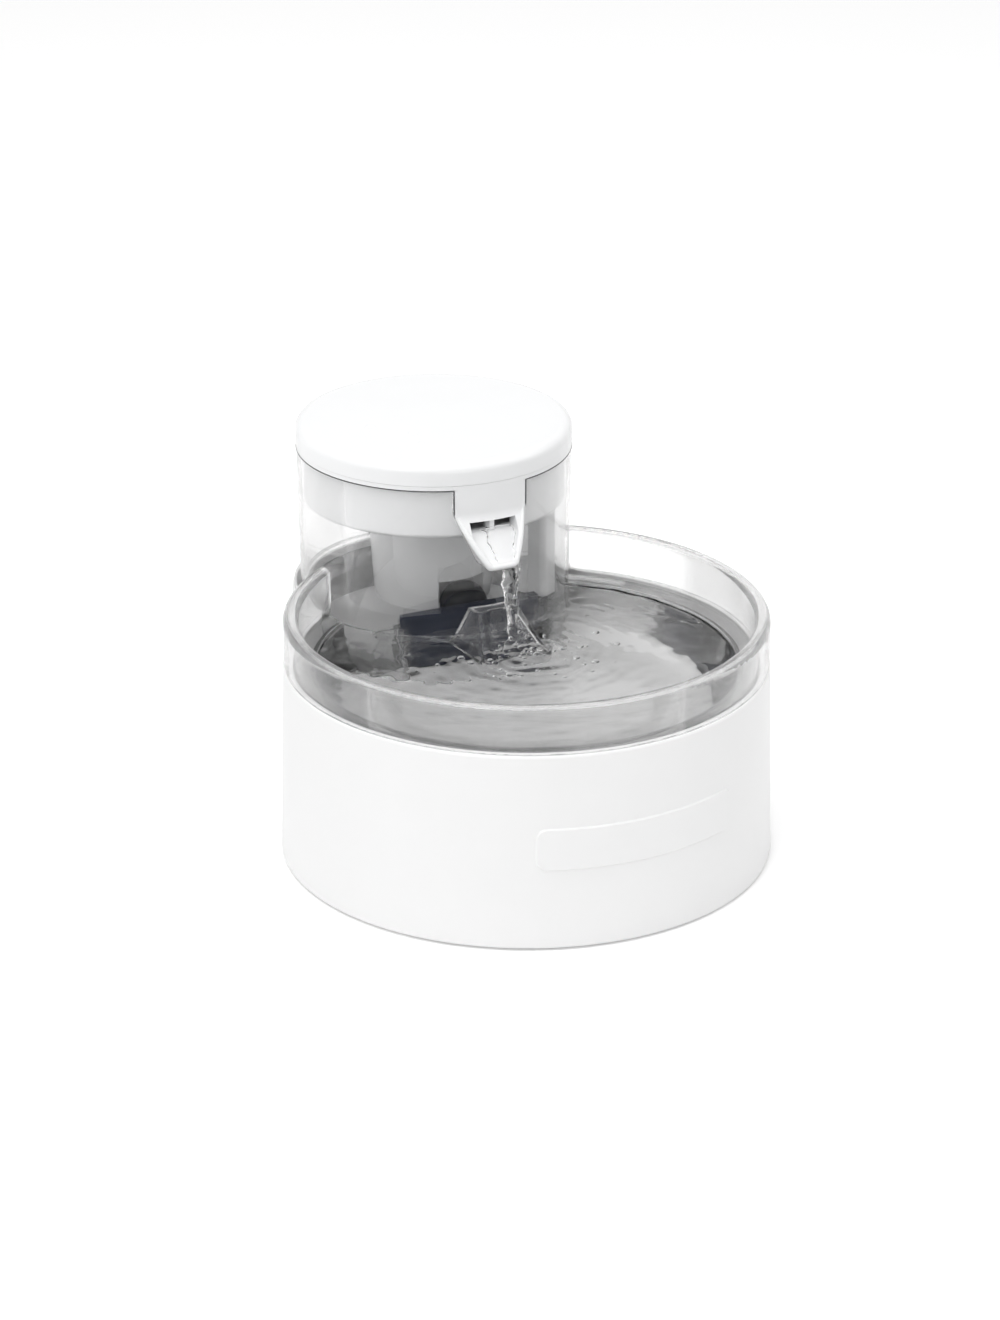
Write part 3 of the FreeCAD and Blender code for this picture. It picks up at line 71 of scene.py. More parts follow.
def moulded_finish():
    """Shader group with a slow drift of tone and gloss and the tool's fine texture."""
    group = bpy.data.node_groups.new("moulded_finish", "ShaderNodeTree")
    for name, kind in (
        ("Colour", "NodeSocketColor"), ("Roughness", "NodeSocketFloat"), ("Tone", "NodeSocketFloat"),
        ("Spread", "NodeSocketFloat"), ("Grain", "NodeSocketFloat"), ("Depth", "NodeSocketFloat"),
    ):
        group.interface.new_socket(name, in_out="INPUT", socket_type=kind)
    for name, kind in (
        ("Colour", "NodeSocketColor"), ("Roughness", "NodeSocketFloat"), ("Normal", "NodeSocketVector"),
    ):
        group.interface.new_socket(name, in_out="OUTPUT", socket_type=kind)
    new = group.nodes.new
    link = group.links.new
    given = new("NodeGroupInput")
    result = new("NodeGroupOutput")
    place = new("ShaderNodeTexCoord")
    drift = new("ShaderNodeTexNoise")
    drift.inputs["Scale"].default_value = 22
    drift.inputs["Detail"].default_value = 3
    link(place.outputs["Object"], drift.inputs["Vector"])
    centred = maths(group, "SUBTRACT", drift.outputs["Fac"], 0.5)
    tone = maths(group, "MULTIPLY_ADD", centred, given.outputs["Tone"], 1.0)
    shade = new("ShaderNodeVectorMath")
    shade.operation = "SCALE"
    link(given.outputs["Colour"], shade.inputs[0])
    link(tone, shade.inputs["Scale"])
    link(shade.outputs[0], result.inputs["Colour"])
    gloss = maths(group, "MULTIPLY_ADD", centred, given.outputs["Spread"], given.outputs["Roughness"])
    link(gloss, result.inputs["Roughness"])
    grain = new("ShaderNodeTexNoise")
    grain.inputs["Detail"].default_value = 4
    link(place.outputs["Object"], grain.inputs["Vector"])
    link(given.outputs["Grain"], grain.inputs["Scale"])
    bump = new("ShaderNodeBump")
    bump.inputs["Distance"].default_value = 0.1 * mm
    link(grain.outputs["Fac"], bump.inputs["Height"])
    link(given.outputs["Depth"], bump.inputs["Strength"])
    link(bump.outputs["Normal"], result.inputs["Normal"])
    return group


finish_group = moulded_finish()


def moulded(name, colour, roughness, tone=0.03, spread=0.08, grain=1400.0, depth=0.06, **plain):
    """A material with the moulded finish. What is left over goes on the shader itself."""
    material = bpy.data.materials.new(name)
    material.use_nodes = True
    tree = material.node_tree
    shader = tree.nodes["Principled BSDF"]
    finish = tree.nodes.new("ShaderNodeGroup")
    finish.node_tree = finish_group
    values = {
        "Colour": (*colour, 1), "Roughness": roughness, "Tone": tone, "Spread": spread,
        "Grain": grain, "Depth": depth,
    }
    for socket, value in values.items():
        finish.inputs[socket].default_value = value
    tree.links.new(finish.outputs["Colour"], shader.inputs["Base Color"])
    tree.links.new(finish.outputs["Roughness"], shader.inputs["Roughness"])
    tree.links.new(finish.outputs["Normal"], shader.inputs["Normal"])
    for socket, value in plain.items():
        shader.inputs[socket].default_value = value
    return material


def dress(material, *names):
    """Gives the named pieces of the frame their material."""
    for name in names:
        for slot in nodes[name].material_slots:
            slot.material = material


def make_piece(name, form, material, body):
    """Turns a bmesh into a smooth piece that rides on its body."""
    bmesh.ops.recalc_face_normals(form, faces=form.faces)
    mesh = bpy.data.meshes.new(name)
    form.to_mesh(mesh)
    form.free()
    mesh.materials.append(material)
    mesh.shade_smooth()
    piece = bpy.data.objects.new(name, mesh)
    bpy.context.scene.collection.objects.link(piece)
    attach(piece, body)
    return piece


def bridge(form, rings, closed=True):
    """Joins rings of points, given in order, with faces. Returns the rings' vertices."""
    rows = [[form.verts.new(point) for point in ring] for ring in rings]
    for low, high in zip(rows, rows[1:]):
        count = len(low)
        for i in range(count if closed else count - 1):
            j = (i + 1) % count
            form.faces.new((low[i], low[j], high[j], high[i]))
    return rows


white_skirt = moulded("white_moulding", (0.84, 0.84, 0.84), 0.38)
dress(white_skirt, "base_shell", "base_deck", "base_bottom_cover")

# Plate on the front of the base. A bare raised pad, moulded with the skirt, with
# rounded corners and a soft edge.
plate_low, plate_high = 43.2 * mm, 66.4 * mm
plate_half_angle = math.radians(26.0)
plate_turn = math.radians(2.4)
plate_corner = 6 * mm
plate_rise = 0.9 * mm
plate_edge = 1.1 * mm
plate_sink = 0.03 * mm
plate_depth = 2.0 * mm
skirt_middle = 126.7 * mm


def plate_height(across, up, half_width, half_height):
    """How far the plate stands proud, from the distance to its rounded outline."""
    corner_x = abs(across) - (half_width - plate_corner)
    corner_y = abs(up) - (half_height - plate_corner)
    if corner_x > 0 and corner_y > 0:
        inside = plate_corner - math.hypot(corner_x, corner_y)
    else:
        inside = plate_corner - max(corner_x, corner_y)
    share = min(max(inside / plate_edge, 0.0), 1.0)
    return plate_rise * share * share * (3 - 2 * share)


def skirt_radius(z):
    """Outer radius of the skirt, which draws in by 2.6 mm from its foot to its lip."""
    return 128.0 * mm - 2.6 * mm * z / (105 * mm)


def front_plate():
    form = bmesh.new()
    half_width = plate_half_angle * skirt_middle
    half_height = (plate_high - plate_low) / 2
    middle = (plate_high + plate_low) / 2
    steps_up = 64
    steps_across = 260
    rings = []
    for i in range(steps_up + 1):
        up = -half_height * math.cos(math.pi * i / steps_up)
        over = abs(up) - (half_height - plate_corner)
        draw_in = plate_corner - math.sqrt(max(plate_corner ** 2 - over ** 2, 0)) if over > 0 else 0.0
        reach = half_width - draw_in
        ring = []
        for j in range(steps_across + 1):
            across = -reach * math.cos(math.pi * j / steps_across)
            z = middle + up
            radius = skirt_radius(z) - plate_sink + plate_height(across, up, half_width, half_height)
            angle = plate_turn + across / skirt_middle
            ring.append((radius * math.sin(angle), bowl_y - radius * math.cos(angle), z))
        rings.append(ring)
    bridge(form, rings, closed=False)
    back = bmesh.ops.extrude_face_region(form, geom=form.faces[:])
    for vert in (v for v in back["geom"] if isinstance(v, bmesh.types.BMVert)):
        outward = Vector((vert.co.x, vert.co.y - bowl_y, 0)).normalized()
        flat = Vector((0, bowl_y, vert.co.z))
        vert.co = flat + outward * (skirt_radius(vert.co.z) - plate_depth)
    return make_piece("front_plate", form, white_skirt, "base")


front_plate()

# Screws. Plated steel with countersunk cross-recessed heads, pushed up through the
# cover into the deck's bosses, through the bracket and through the board.
screw_steel = moulded("plated_steel", (0.62, 0.62, 0.64), 0.3, grain=2600.0, Metallic=1.0)


def cross_screws(name, spots, head_z, head_radius, head_wall, shank_radius, length, facing):
    """Screws with a recess in their head. facing is -1 where the head looks down."""
    form = bmesh.new()
    steps = 48
    for x, y in spots:
        def ring(radius, depth, cross=0.0):
            points = []
            for i in range(steps):
                angle = 2 * math.pi * i / steps
                arm = abs(math.cos(2 * angle)) ** 3
                reach = radius * (1 - cross + cross * arm)
                z = head_z - facing * depth
                points.append((x + reach * math.cos(angle), y + reach * math.sin(angle), z))
            return points
        rings = [
            ring(0.02 * head_radius, head_wall * 0.62), ring(head_radius * 0.4, head_wall * 0.55, 0.7),
            ring(head_radius * 0.56, 0.0, 0.66), ring(head_radius * 0.62, 0.0, 0.3),
            ring(head_radius * 0.93, 0.0), ring(head_radius, head_wall * 0.12),
            ring(head_radius, head_wall * 0.96), ring(shank_radius, head_wall),
            ring(shank_radius, length * 0.92), ring(shank_radius * 0.4, length),
        ]
        rows = bridge(form, rings)
        form.faces.new(rows[0])
        form.faces.new(rows[-1])
    return form


def cover_spots():
    """Three screws round the front and two in the lobe."""
    spots = []
    for centre_y, ring, turns in ((bowl_y, 112 * mm, (-150, -90, -30)), (tower_y, 62.8 * mm, (35, 145))):
        for angle in (math.radians(turn) for turn in turns):
            spots.append((ring * math.cos(angle), centre_y + ring * math.sin(angle)))
    return spots


pump_x, pump_y = 4.0 * mm, 54.15 * mm
bracket_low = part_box("motor_bracket")[0].z
bracket_spots = [(pump_x - 21 * mm, pump_y), (pump_x + 21 * mm, pump_y)]
for name, spots, head_z, sizes in (
    ("base_screws", cover_spots(), 1.6 * mm, (3.0, 1.6, 1.4, 12.0)),
    ("bracket_screws", bracket_spots, bracket_low - 1.6 * mm, (3.0, 1.6, 1.4, 8.6)),
):
    head, wall, shank, length = (size * mm for size in sizes)
    form = cross_screws(name, spots, head_z, head, wall, shank, length, -1)
    screws = make_piece(name + "_cross", form, screw_steel, "base")
    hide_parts(name)

# Feet, motor, bracket, board and power inlet. Soft rubber pads, a drawn steel motor on
# a pressed plate, green laminate with its parts, and a black inlet behind.
dress(moulded("foot_rubber", (0.52, 0.52, 0.53), 0.75, grain=900.0, depth=0.25), "rubber_feet")
motor_steel = moulded("motor_steel", (0.66, 0.66, 0.68), 0.32, grain=2400.0, depth=0.05, Metallic=1.0)
dress(motor_steel, "drive_motor", "motor_shaft")
bracket_steel = moulded("bracket_steel", (0.7, 0.7, 0.7), 0.38, grain=1200.0, depth=0.1, Metallic=1.0)
dress(bracket_steel, "motor_bracket")
dress(moulded("board_laminate", (0.03, 0.2, 0.08), 0.42, tone=0.4, grain=700.0), "circuit_board")
dress(screw_steel, "board_screws")
black_moulding = moulded("black_moulding", (0.012, 0.012, 0.014), 0.26, grain=900.0, depth=0.08)
dress(black_moulding, "dc_power_jack")
pump_black = moulded("pump_black", (0.004, 0.004, 0.005), 0.5, grain=900.0, depth=0.08)
pump_black.node_tree.nodes["Principled BSDF"].inputs["Specular IOR Level"].default_value = 0.2
dress(pump_black, "pump_cover")
dress(moulded("hub_grey", (0.5, 0.51, 0.53), 0.45), "drive_hub", "impeller_rotor")
ferrite = moulded("magnet_ferrite", (0.05, 0.05, 0.055), 0.55, grain=1900.0, depth=0.3)
dress(ferrite, "drive_magnets", "impeller_magnet")
dress(moulded("pin_ceramic", (0.85, 0.84, 0.8), 0.12, depth=0.01), "impeller_pin", "impeller_bush")

# Clear bowl, tower, ramp and duct. Water-clear plastic, moulded and welded. Light
# goes straight through it to what stands behind.


def clear_material(name, face, edge, roughness, ior, ghost):
    """A see-through material with painted shade at its edges: its colour darkens where it is seen edge
    on, standing in for the dark edges that refraction and reflection give. It casts a faint shadow.

    ghost is the share of light that passes through without being bent."""
    material = bpy.data.materials.new(name)
    material.use_nodes = True
    tree = material.node_tree
    shader = tree.nodes["Principled BSDF"]
    shader.inputs["Transmission Weight"].default_value = 1.0
    shader.inputs["IOR"].default_value = ior
    shader.inputs["Specular Tint"].default_value = (0.4, 0.4, 0.4, 1)
    finish = tree.nodes.new("ShaderNodeGroup")
    finish.node_tree = finish_group
    for socket, value in (
        ("Roughness", roughness), ("Tone", 0.0), ("Spread", 0.02), ("Grain", 60.0), ("Depth", 0.02),
    ):
        finish.inputs[socket].default_value = value
    tree.links.new(finish.outputs["Roughness"], shader.inputs["Roughness"])
    tree.links.new(finish.outputs["Normal"], shader.inputs["Normal"])
    # Painted shade: the colour goes from face towards edge as the surface turns edge on, standing in for
    # the dark rims that bent light gives clear plastic and water.
    slant = tree.nodes.new("ShaderNodeLayerWeight")
    slant.inputs["Blend"].default_value = 0.15
    painted_slant_shade = tree.nodes.new("ShaderNodeMix")
    painted_slant_shade.data_type = "RGBA"
    painted_slant_shade.inputs["A"].default_value = (*face, 1)
    painted_slant_shade.inputs["B"].default_value = (*edge, 1)
    tree.links.new(maths(tree, "POWER", slant.outputs["Facing"], 3.0), painted_slant_shade.inputs["Factor"])
    tree.links.new(painted_slant_shade.outputs["Result"], shader.inputs["Base Color"])
    path = tree.nodes.new("ShaderNodeLightPath")
    passing = maths(tree, "MAXIMUM", path.outputs["Is Shadow Ray"], path.outputs["Is Diffuse Ray"])
    share = maths(tree, "MAXIMUM", passing, ghost)
    straight = tree.nodes.new("ShaderNodeBsdfTransparent")
    straight.inputs["Color"].default_value = (0.985, 0.985, 0.985, 1)
    either = tree.nodes.new("ShaderNodeMixShader")
    tree.links.new(share, either.inputs["Fac"])
    tree.links.new(shader.outputs["BSDF"], either.inputs[1])
    tree.links.new(straight.outputs["BSDF"], either.inputs[2])
    tree.links.new(either.outputs["Shader"], tree.nodes["Material Output"].inputs["Surface"])
    return material


# The edge colours below are painted shade at the clear parts' edges, pinkish on the ramp.
clear_plastic = clear_material(
    "clear_moulding", (0.996, 0.996, 0.996), (0.55, 0.55, 0.56), 0.0, 1.36, 0.2,
)
dress(clear_plastic, "clear_bowl", "clear_tower", "outlet_duct")
clear_ramp = clear_material("clear_ramp", (0.985, 0.98, 0.98), (0.5, 0.46, 0.46), 0.02, 1.45, 0.1)
dress(clear_ramp, "splash_ramp")


# Edge of the tower. A thin dark bead along the tube's upper edge and down both sides of the notch for
# the spout: painted shade, a dark strip standing in for the dark line that refraction gives the clear
# plastic's cut edge.
def tower_edge():
    reach = 73.05 * mm
    notch_half = 20.5 * mm
    top = 183.6 * mm
    half = math.asin(notch_half / reach)
    path = [(half, z * mm) for z in (169.0, 171.0, 174.0, 178.0, 181.5, 183.2)]
    turns = 180
    for i in range(turns + 1):
        path.append((half + 0.004 + (2 * math.pi - 2 * half - 0.008) * i / turns, top))
    path += [(2 * math.pi - half, z * mm) for z in (183.2, 181.5, 178.0, 174.0, 171.0, 169.0)]
    form = bmesh.new()
    rings = []
    points = [Vector((reach * math.sin(a), tower_y - reach * math.cos(a), z)) for a, z in path]
    for i, point in enumerate(points):
        ahead = (points[min(i + 1, len(points) - 1)] - points[max(i - 1, 0)]).normalized()
        out = Vector((point.x, point.y - tower_y, 0)).normalized()
        side = ahead.cross(out).normalized()
        thick = 0.34 * mm if 0 < i < len(points) - 1 else 0.08 * mm
        rings.append([
            point + (out * math.cos(turn) + side * math.sin(turn)) * thick
            for turn in (2 * math.pi * k / 8 for k in range(8))
        ])
    rows = bridge(form, rings)
    form.faces.new(rows[0])
    form.faces.new(rows[-1])
    # Painted shade: a near-black colour on the bead for the dark cut edge of the clear plastic.
    dark_edge_paint = moulded("painted_edge_shade", (0.07, 0.07, 0.075), 0.6)
    return make_piece("tower_edge", form, dark_edge_paint, "bowl")


tower_edge()

# Water in bowl and tower. It stands at one level, ruffled in front by the falling
# stream and calm behind the foam.
# The water's edge colour is a faint painted shade where its surface is seen edge on.
water = clear_material("water", (0.997, 0.997, 0.997), (0.93, 0.93, 0.94), 0.0, 1.3, 0.0)
water_level = 101.8 * mm
water_gap = 0.15
splash_x, splash_y = 5 * mm, -24 * mm
heart = Vector((0, 45 * mm))


def ripple(x, y):
    """Height of the water over its level."""
    near = math.hypot(x - splash_x, y - splash_y)
    wander = noise.noise(Vector((x / 0.018, y / 0.018, 3.1)))
    rings = math.exp(-near / 0.034) * math.sin(2 * math.pi * near / 0.0085 + 4.5 * wander)
    chop = noise.noise(Vector((x / 0.013, y / 0.009, 0.7)))
    fine = noise.noise(Vector((x / 0.0052, y / 0.0038, 5.3)))
    lively = math.exp(-near / 0.09)
    height = 0.5 * rings + (0.25 + 0.65 * lively) * chop + (0.06 + 0.26 * lively) * fine
    if math.hypot(x, y - tower_y) < 71 * mm:
        height *= 0.15
    return height * mm


def basin_reach(z):
    """Radius of the water in the basin at a height, a hair inside the plastic."""
    brim, brim_z, draft, corner, corner_x, corner_z = 109.0, 103.2, 7.92, 11.6, 90.95, 55.8
    reach = brim - (brim_z * mm - z) / (59 * mm) * draft
    if z < corner_z * mm:
        reach = corner_x + math.sqrt(max(corner ** 2 - (corner_z - z / mm) ** 2, 0))
    return (reach - water_gap) * mm


def tower_reach(z):
    """Radius of the water in the tower, which widens by 1.8 mm over its height."""
    return (68.8 + 1.8 * (z / mm - 41.8) / 142.2 - water_gap) * mm


def shore(angle, z):
    """Distance from the water's heart to the wall, out of basin or tower."""
    along = Vector((math.sin(angle), math.cos(angle)))
    reaches = []
    for centre_y, radius in ((bowl_y, basin_reach(z)), (tower_y, tower_reach(z))):
        offset = heart - Vector((0, centre_y))
        lean = along.dot(offset)
        inside = lean * lean - offset.length_squared + radius * radius
        if inside > 0:
            reaches.append(math.sqrt(inside) - lean)
    return max(reaches)


def water_ring(z, share, steps, wavy):
    points = []
    for i in range(steps):
        angle = 2 * math.pi * i / steps
        reach = shore(angle, z) * share
        x = heart.x + reach * math.sin(angle)
        y = heart.y + reach * math.cos(angle)
        points.append((x, y, z + ripple(x, y) if wavy else z))
    return points


def bowl_water():
    form = bmesh.new()
    steps = 440
    across = 140
    rings = [water_ring(water_level, (i + 0.4) / (across + 0.4), steps, True) for i in range(across + 1)]
    for z in (98, 85, 70, 57, 53, 49.5, 46.8, 45, 44.3, 44.05):
        rings.append(water_ring(z * mm, 1.0, steps, False))
    rings.append(water_ring(44.05 * mm, 0.5, steps, False))
    rows = bridge(form, rings)
    form.faces.new(rows[0])
    form.faces.new(rows[-1])
    return make_piece("bowl_water", form, water, "bowl")


bowl_water()

# Stream, splash and bubbles. The stream slides down the spout's scoop, falls on the
# ramp, spreads over it and throws drops and bubbles round its foot.
stream_path = (
    # x, y, z, half width, half depth
    (2.0, 10.0, 161.0, 8.5, 0.8), (2.4, 6.0, 158.6, 7.6, 0.9), (2.6, 2.0, 153.8, 6.6, 1.0),
    (2.8, -1.5, 149.2, 5.6, 1.3), (3.0, -4.2, 143.8, 4.8, 1.9), (3.1, -5.3, 138.0, 4.2, 2.6),
    (3.2, -6.1, 131.0, 3.9, 2.9), (3.4, -6.7, 124.0, 3.4, 2.7), (3.6, -7.1, 117.0, 2.8, 2.4),
    (3.8, -7.6, 111.4, 2.6, 2.0), (4.0, -9.6, 108.8, 4.2, 1.1), (4.2, -13.0, 105.8, 7.0, 0.9),
    (4.4, -17.0, 102.4, 9.5, 0.8), (4.5, -20.0, 100.2, 11.0, 0.6),
)
strand_path = (
    (7.6, -2.0, 150.5, 1.1, 0.8), (7.9, -4.0, 145.0, 1.2, 1.0), (7.4, -5.2, 138.5, 1.1, 1.0),
    (6.4, -6.0, 132.0, 1.1, 1.0), (4.8, -6.6, 126.5, 0.9, 0.9),
)


def along_path(path, share):
    """Point and half widths at a share of the path, on a smooth curve through it."""
    place = share * (len(path) - 1)
    index = min(int(place), len(path) - 2)
    t = place - index
    before = path[max(index - 1, 0)]
    start, end = path[index], path[index + 1]
    after = path[min(index + 2, len(path) - 1)]
    return [
        0.5 * (
            2 * b + (c - a) * t + (2 * a - 5 * b + 4 * c - d) * t * t
            + (3 * b - a - 3 * c + d) * t ** 3
        )
        for a, b, c, d in zip(before, start, end, after)
    ]


def add_strand(form, path, rows, steps, lumps):
    """A rope of water with a twist in it."""
    rings = []
    for i in range(rows + 1):
        share = i / rows
        x, y, z, half_width, half_depth = along_path(path, share)
        ahead = along_path(path, min(share + 0.01, 1.0))
        behind = along_path(path, max(share - 0.01, 0.0))
        run = Vector((0, ahead[1] - behind[1], ahead[2] - behind[2])).normalized()
        front = Vector((0, -run.z, run.y))
        ring = []
        for j in range(steps):
            angle = 2 * math.pi * j / steps
            wave = 1 + lumps * math.sin(3 * angle + 26 * share)
            wave += 0.6 * lumps * math.sin(2 * angle - 41 * share)
            wave += lumps * noise.noise(Vector((math.cos(angle), math.sin(angle), 30 * share)))
            side = half_width * math.cos(angle) * wave
            deep = half_depth * math.sin(angle) * wave
            ring.append((Vector((x + side, y, z)) + front * deep) * mm)
        rings.append(ring)
    made = bridge(form, rings)
    form.faces.new(made[0])
    form.faces.new(made[-1])


def add_drop(form, x, y, z, radius, stretch=1.0):
    made = bmesh.ops.create_icosphere(form, subdivisions=2, radius=radius)
    for vert in made["verts"]:
        vert.co.z *= stretch
        vert.co += Vector((x, y, z))


def falling_stream():
    form = bmesh.new()
    add_strand(form, stream_path, 150, 28, 0.13)
    add_strand(form, strand_path, 50, 14, 0.1)
    chance = random.Random(5)
    for number in range(16):
        angle = chance.uniform(0, 2 * math.pi)
        reach = chance.uniform(3, 15) * mm
        x = splash_x + reach * math.cos(angle)
        y = -14 * mm + reach * math.sin(angle) * 0.8
        z = water_level + chance.uniform(1.5, 11) * mm
        add_drop(form, x, y, z, chance.uniform(0.4, 1.0) * mm, chance.uniform(0.9, 1.5))
    piece = make_piece("falling_stream", form, water, "bowl")
    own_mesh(piece)
    return piece


def water_bubbles():
    form = bmesh.new()
    chance = random.Random(11)
    for number in range(90):
        angle = chance.uniform(0, 2 * math.pi)
        reach = abs(chance.gauss(0, 22)) * mm + 4 * mm
        x = splash_x + reach * math.cos(angle)
        y = splash_y - 4 * mm + reach * math.sin(angle) * 0.8
        if y > 4 * mm:
            continue
        radius = chance.choice((0.5, 0.7, 0.9, 1.3, 2.0)) * mm
        add_drop(form, x, y, water_level + ripple(x, y) - radius * 0.25, radius, 0.8)
    return make_piece("water_bubbles", form, water, "bowl")


falling_stream()
water_bubbles()

# Foam strip. Dark blue open-cell foam, cut to a flat strip and slid into the tower's
# guides, so that it stands across the water's way to the pump.
foam_low, foam_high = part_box("foam_filter")


def foam_strip():
    form = bmesh.new()
    pitch = 1.0 * mm
    sides = foam_high - foam_low
    counts = [max(round(side / pitch), 2) for side in sides]
    for axis in range(3):
        u, v = (axis + 1) % 3, (axis + 2) % 3
        for end in (0, 1):
            rows = []
            for i in range(counts[u] + 1):
                row = []
                for j in range(counts[v] + 1):
                    point = foam_low.copy()
                    point[axis] += sides[axis] * end
                    point[u] += sides[u] * i / counts[u]
                    point[v] += sides[v] * j / counts[v]
                    row.append(point)
                rows.append(row)
            bridge(form, rows, closed=False)
    bmesh.ops.remove_doubles(form, verts=form.verts, dist=0.05 * mm)
    middle = (foam_low + foam_high) / 2
    for vert in form.verts:
        inward = (middle - vert.co).normalized()
        pore = noise.noise(vert.co / (1.3 * mm)) + 0.6 * noise.noise(vert.co / (0.6 * mm))
        round_off = 0.12 * mm
        vert.co += inward * (round_off + 0.16 * mm * abs(pore))
    foam = moulded("blue_foam", (0.009, 0.013, 0.028), 0.95, tone=0.8, grain=900.0, depth=1.0)
    piece = make_piece("foam_strip", form, foam, "foam")
    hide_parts("foam_filter")
    return piece


foam_strip()

# Spout basin, filter cup, riser, cartridge case and lid. White mouldings, a shade
# glossier than the base. The seals are pale silicone.
white_insert = moulded("white_insert", (0.86, 0.865, 0.87), 0.26)
dress(white_insert, "spout_basin", "filter_cup", "riser_duct", "filter_case", "tower_lid")
dress(moulded("seal_silicone", (0.75, 0.75, 0.76), 0.5), "riser_seal", "lid_seal")

# Rims of the spout. Soft raised edges down both sides of the scoop and along its lip,
# moulded with the spout basin in the same white plastic.


def spout_rims():
    """Raised soft rims down both sides of the spout's scoop and along its lip."""
    def half_width(z):
        low, high, narrow, wide = (148.0, 170.0, 10.0, 20.0) if z > 148 else (141.0, 148.0, 6.5, 10.0)
        share = min(max((z - low) / (high - low), 0.0), 1.0)
        return narrow + (wide - narrow) * share

    def reach(z):
        share = min(max((167.8 - z) / 22.8, 0.0), 1.0)
        return 73.0 + 13.0 * share

    spots = []
    for i in range(40):
        z = 173.0 - 28.5 * i / 39
        swell = 0.9 * math.sin(math.pi * i / 39)
        thick = 0.4 + 1.35 * math.sin(math.pi * min(i / 60 + 0.02, 0.5))
        spots.append((half_width(z) - 1.0 + swell, z, thick))
    path = [(-x, z, thick) for x, z, thick in spots]
    edge = spots[-1][0]
    path += [(edge * (i / 6 - 1), 144.0, 1.7) for i in range(1, 12)]
    path += spots[::-1]
    points = []
    for x, z, thick in path:
        out = reach(z) - 0.5
        points.append((Vector((x, tower_y / mm - math.sqrt(out * out - x * x), z)) * mm, thick * mm))
    form = bmesh.new()
    rings = []
    for i, (point, thick) in enumerate(points):
        ahead = (points[min(i + 1, len(points) - 1)][0] - points[max(i - 1, 0)][0]).normalized()
        front = Vector((0, -1, 0.2))
        side = ahead.cross(front).normalized()
        front = side.cross(ahead).normalized()
        rings.append([
            point + (front * math.cos(turn) + side * math.sin(turn)) * thick
            for turn in (2 * math.pi * k / 14 for k in range(14))
        ])
    rows = bridge(form, rings)
    form.faces.new(rows[0])
    form.faces.new(rows[-1])
    return make_piece("spout_rims", form, white_insert, "housing")


spout_rims()

# Carbon. Black granules of activated carbon, poured into the case before its top is
# welded on. They fill it and show between its slots.


def carbon_granules():
    low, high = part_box("carbon_core")
    form = bmesh.new()
    chance = random.Random(3)
    middle = (low + high) / 2
    foot = (high.x - low.x) / 2 - 1.6 * mm
    head = (high.x - low.x) / 2
    steps = 64
    rings = []
    for share in (0.0, 0.5, 1.0):
        reach = foot + (head - foot) * share - 2.4 * mm
        z = low.z + 1.5 * mm + (high.z - low.z - 3 * mm) * share
        turns = (2 * math.pi * i / steps for i in range(steps))
        rings.append([
            (middle.x + reach * math.cos(turn), middle.y + reach * math.sin(turn), z) for turn in turns
        ])
    rows = bridge(form, rings)
    form.faces.new(rows[0])
    form.faces.new(rows[-1])
    for number in range(900):
        share = chance.random()
        radius = chance.uniform(1.0, 1.7) * mm
        angle = chance.uniform(0, 2 * math.pi)
        reach = foot + (head - foot) * share - radius - 0.3 * mm
        z = low.z + radius + (high.z - low.z - 2 * radius) * share
        made = bmesh.ops.create_icosphere(form, subdivisions=1, radius=radius)
        for vert in made["verts"]:
            vert.co *= chance.uniform(0.75, 1.0)
            vert.co += Vector((
                middle.x + reach * math.cos(angle), middle.y + reach * math.sin(angle), z,
            ))
    carbon = moulded("carbon", (0.012, 0.012, 0.012), 0.6, grain=2500.0, depth=0.5)
    piece = make_piece("carbon_granules", form, carbon, "cartridge")
    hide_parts("carbon_core")
    return piece


carbon_granules()

# Studio. A white table and a white room, lit softly from above and the left. The room
# is brightest behind the fountain, as a paper backdrop is.
floor_form = bmesh.new()
floor_rows = [[(x, y, 0.0) for x in (-9.0, 9.0)] for y in (-9.0, 9.0)]
bridge(floor_form, floor_rows, closed=False)
floor_mesh = bpy.data.meshes.new("table_top")
floor_form.to_mesh(floor_mesh)
floor_form.free()
table_white = bpy.data.materials.new("table_white")
table_white.use_nodes = True
table_tree = table_white.node_tree
table_shader = table_tree.nodes["Principled BSDF"]
table_shader.inputs["Base Color"].default_value = (0.9, 0.9, 0.9, 1)
table_shader.inputs["Roughness"].default_value = 0.9
table_shader.inputs["Specular IOR Level"].default_value = 0.0
table_path = table_tree.nodes.new("ShaderNodeLightPath")
table_bent = maths(
    table_tree, "MAXIMUM",
    table_path.outputs["Is Transmission Ray"], table_path.outputs["Is Glossy Ray"],
)
table_seen = maths(table_tree, "MAXIMUM", table_path.outputs["Is Camera Ray"], table_bent)
table_lift = maths(table_tree, "MULTIPLY", table_seen, 0.22)
table_shader.inputs["Emission Color"].default_value = (1, 1, 1, 1)
table_tree.links.new(table_lift, table_shader.inputs["Emission Strength"])
floor_mesh.materials.append(table_white)
table_top = bpy.data.objects.new("table_top", floor_mesh)
bpy.context.scene.collection.objects.link(table_top)

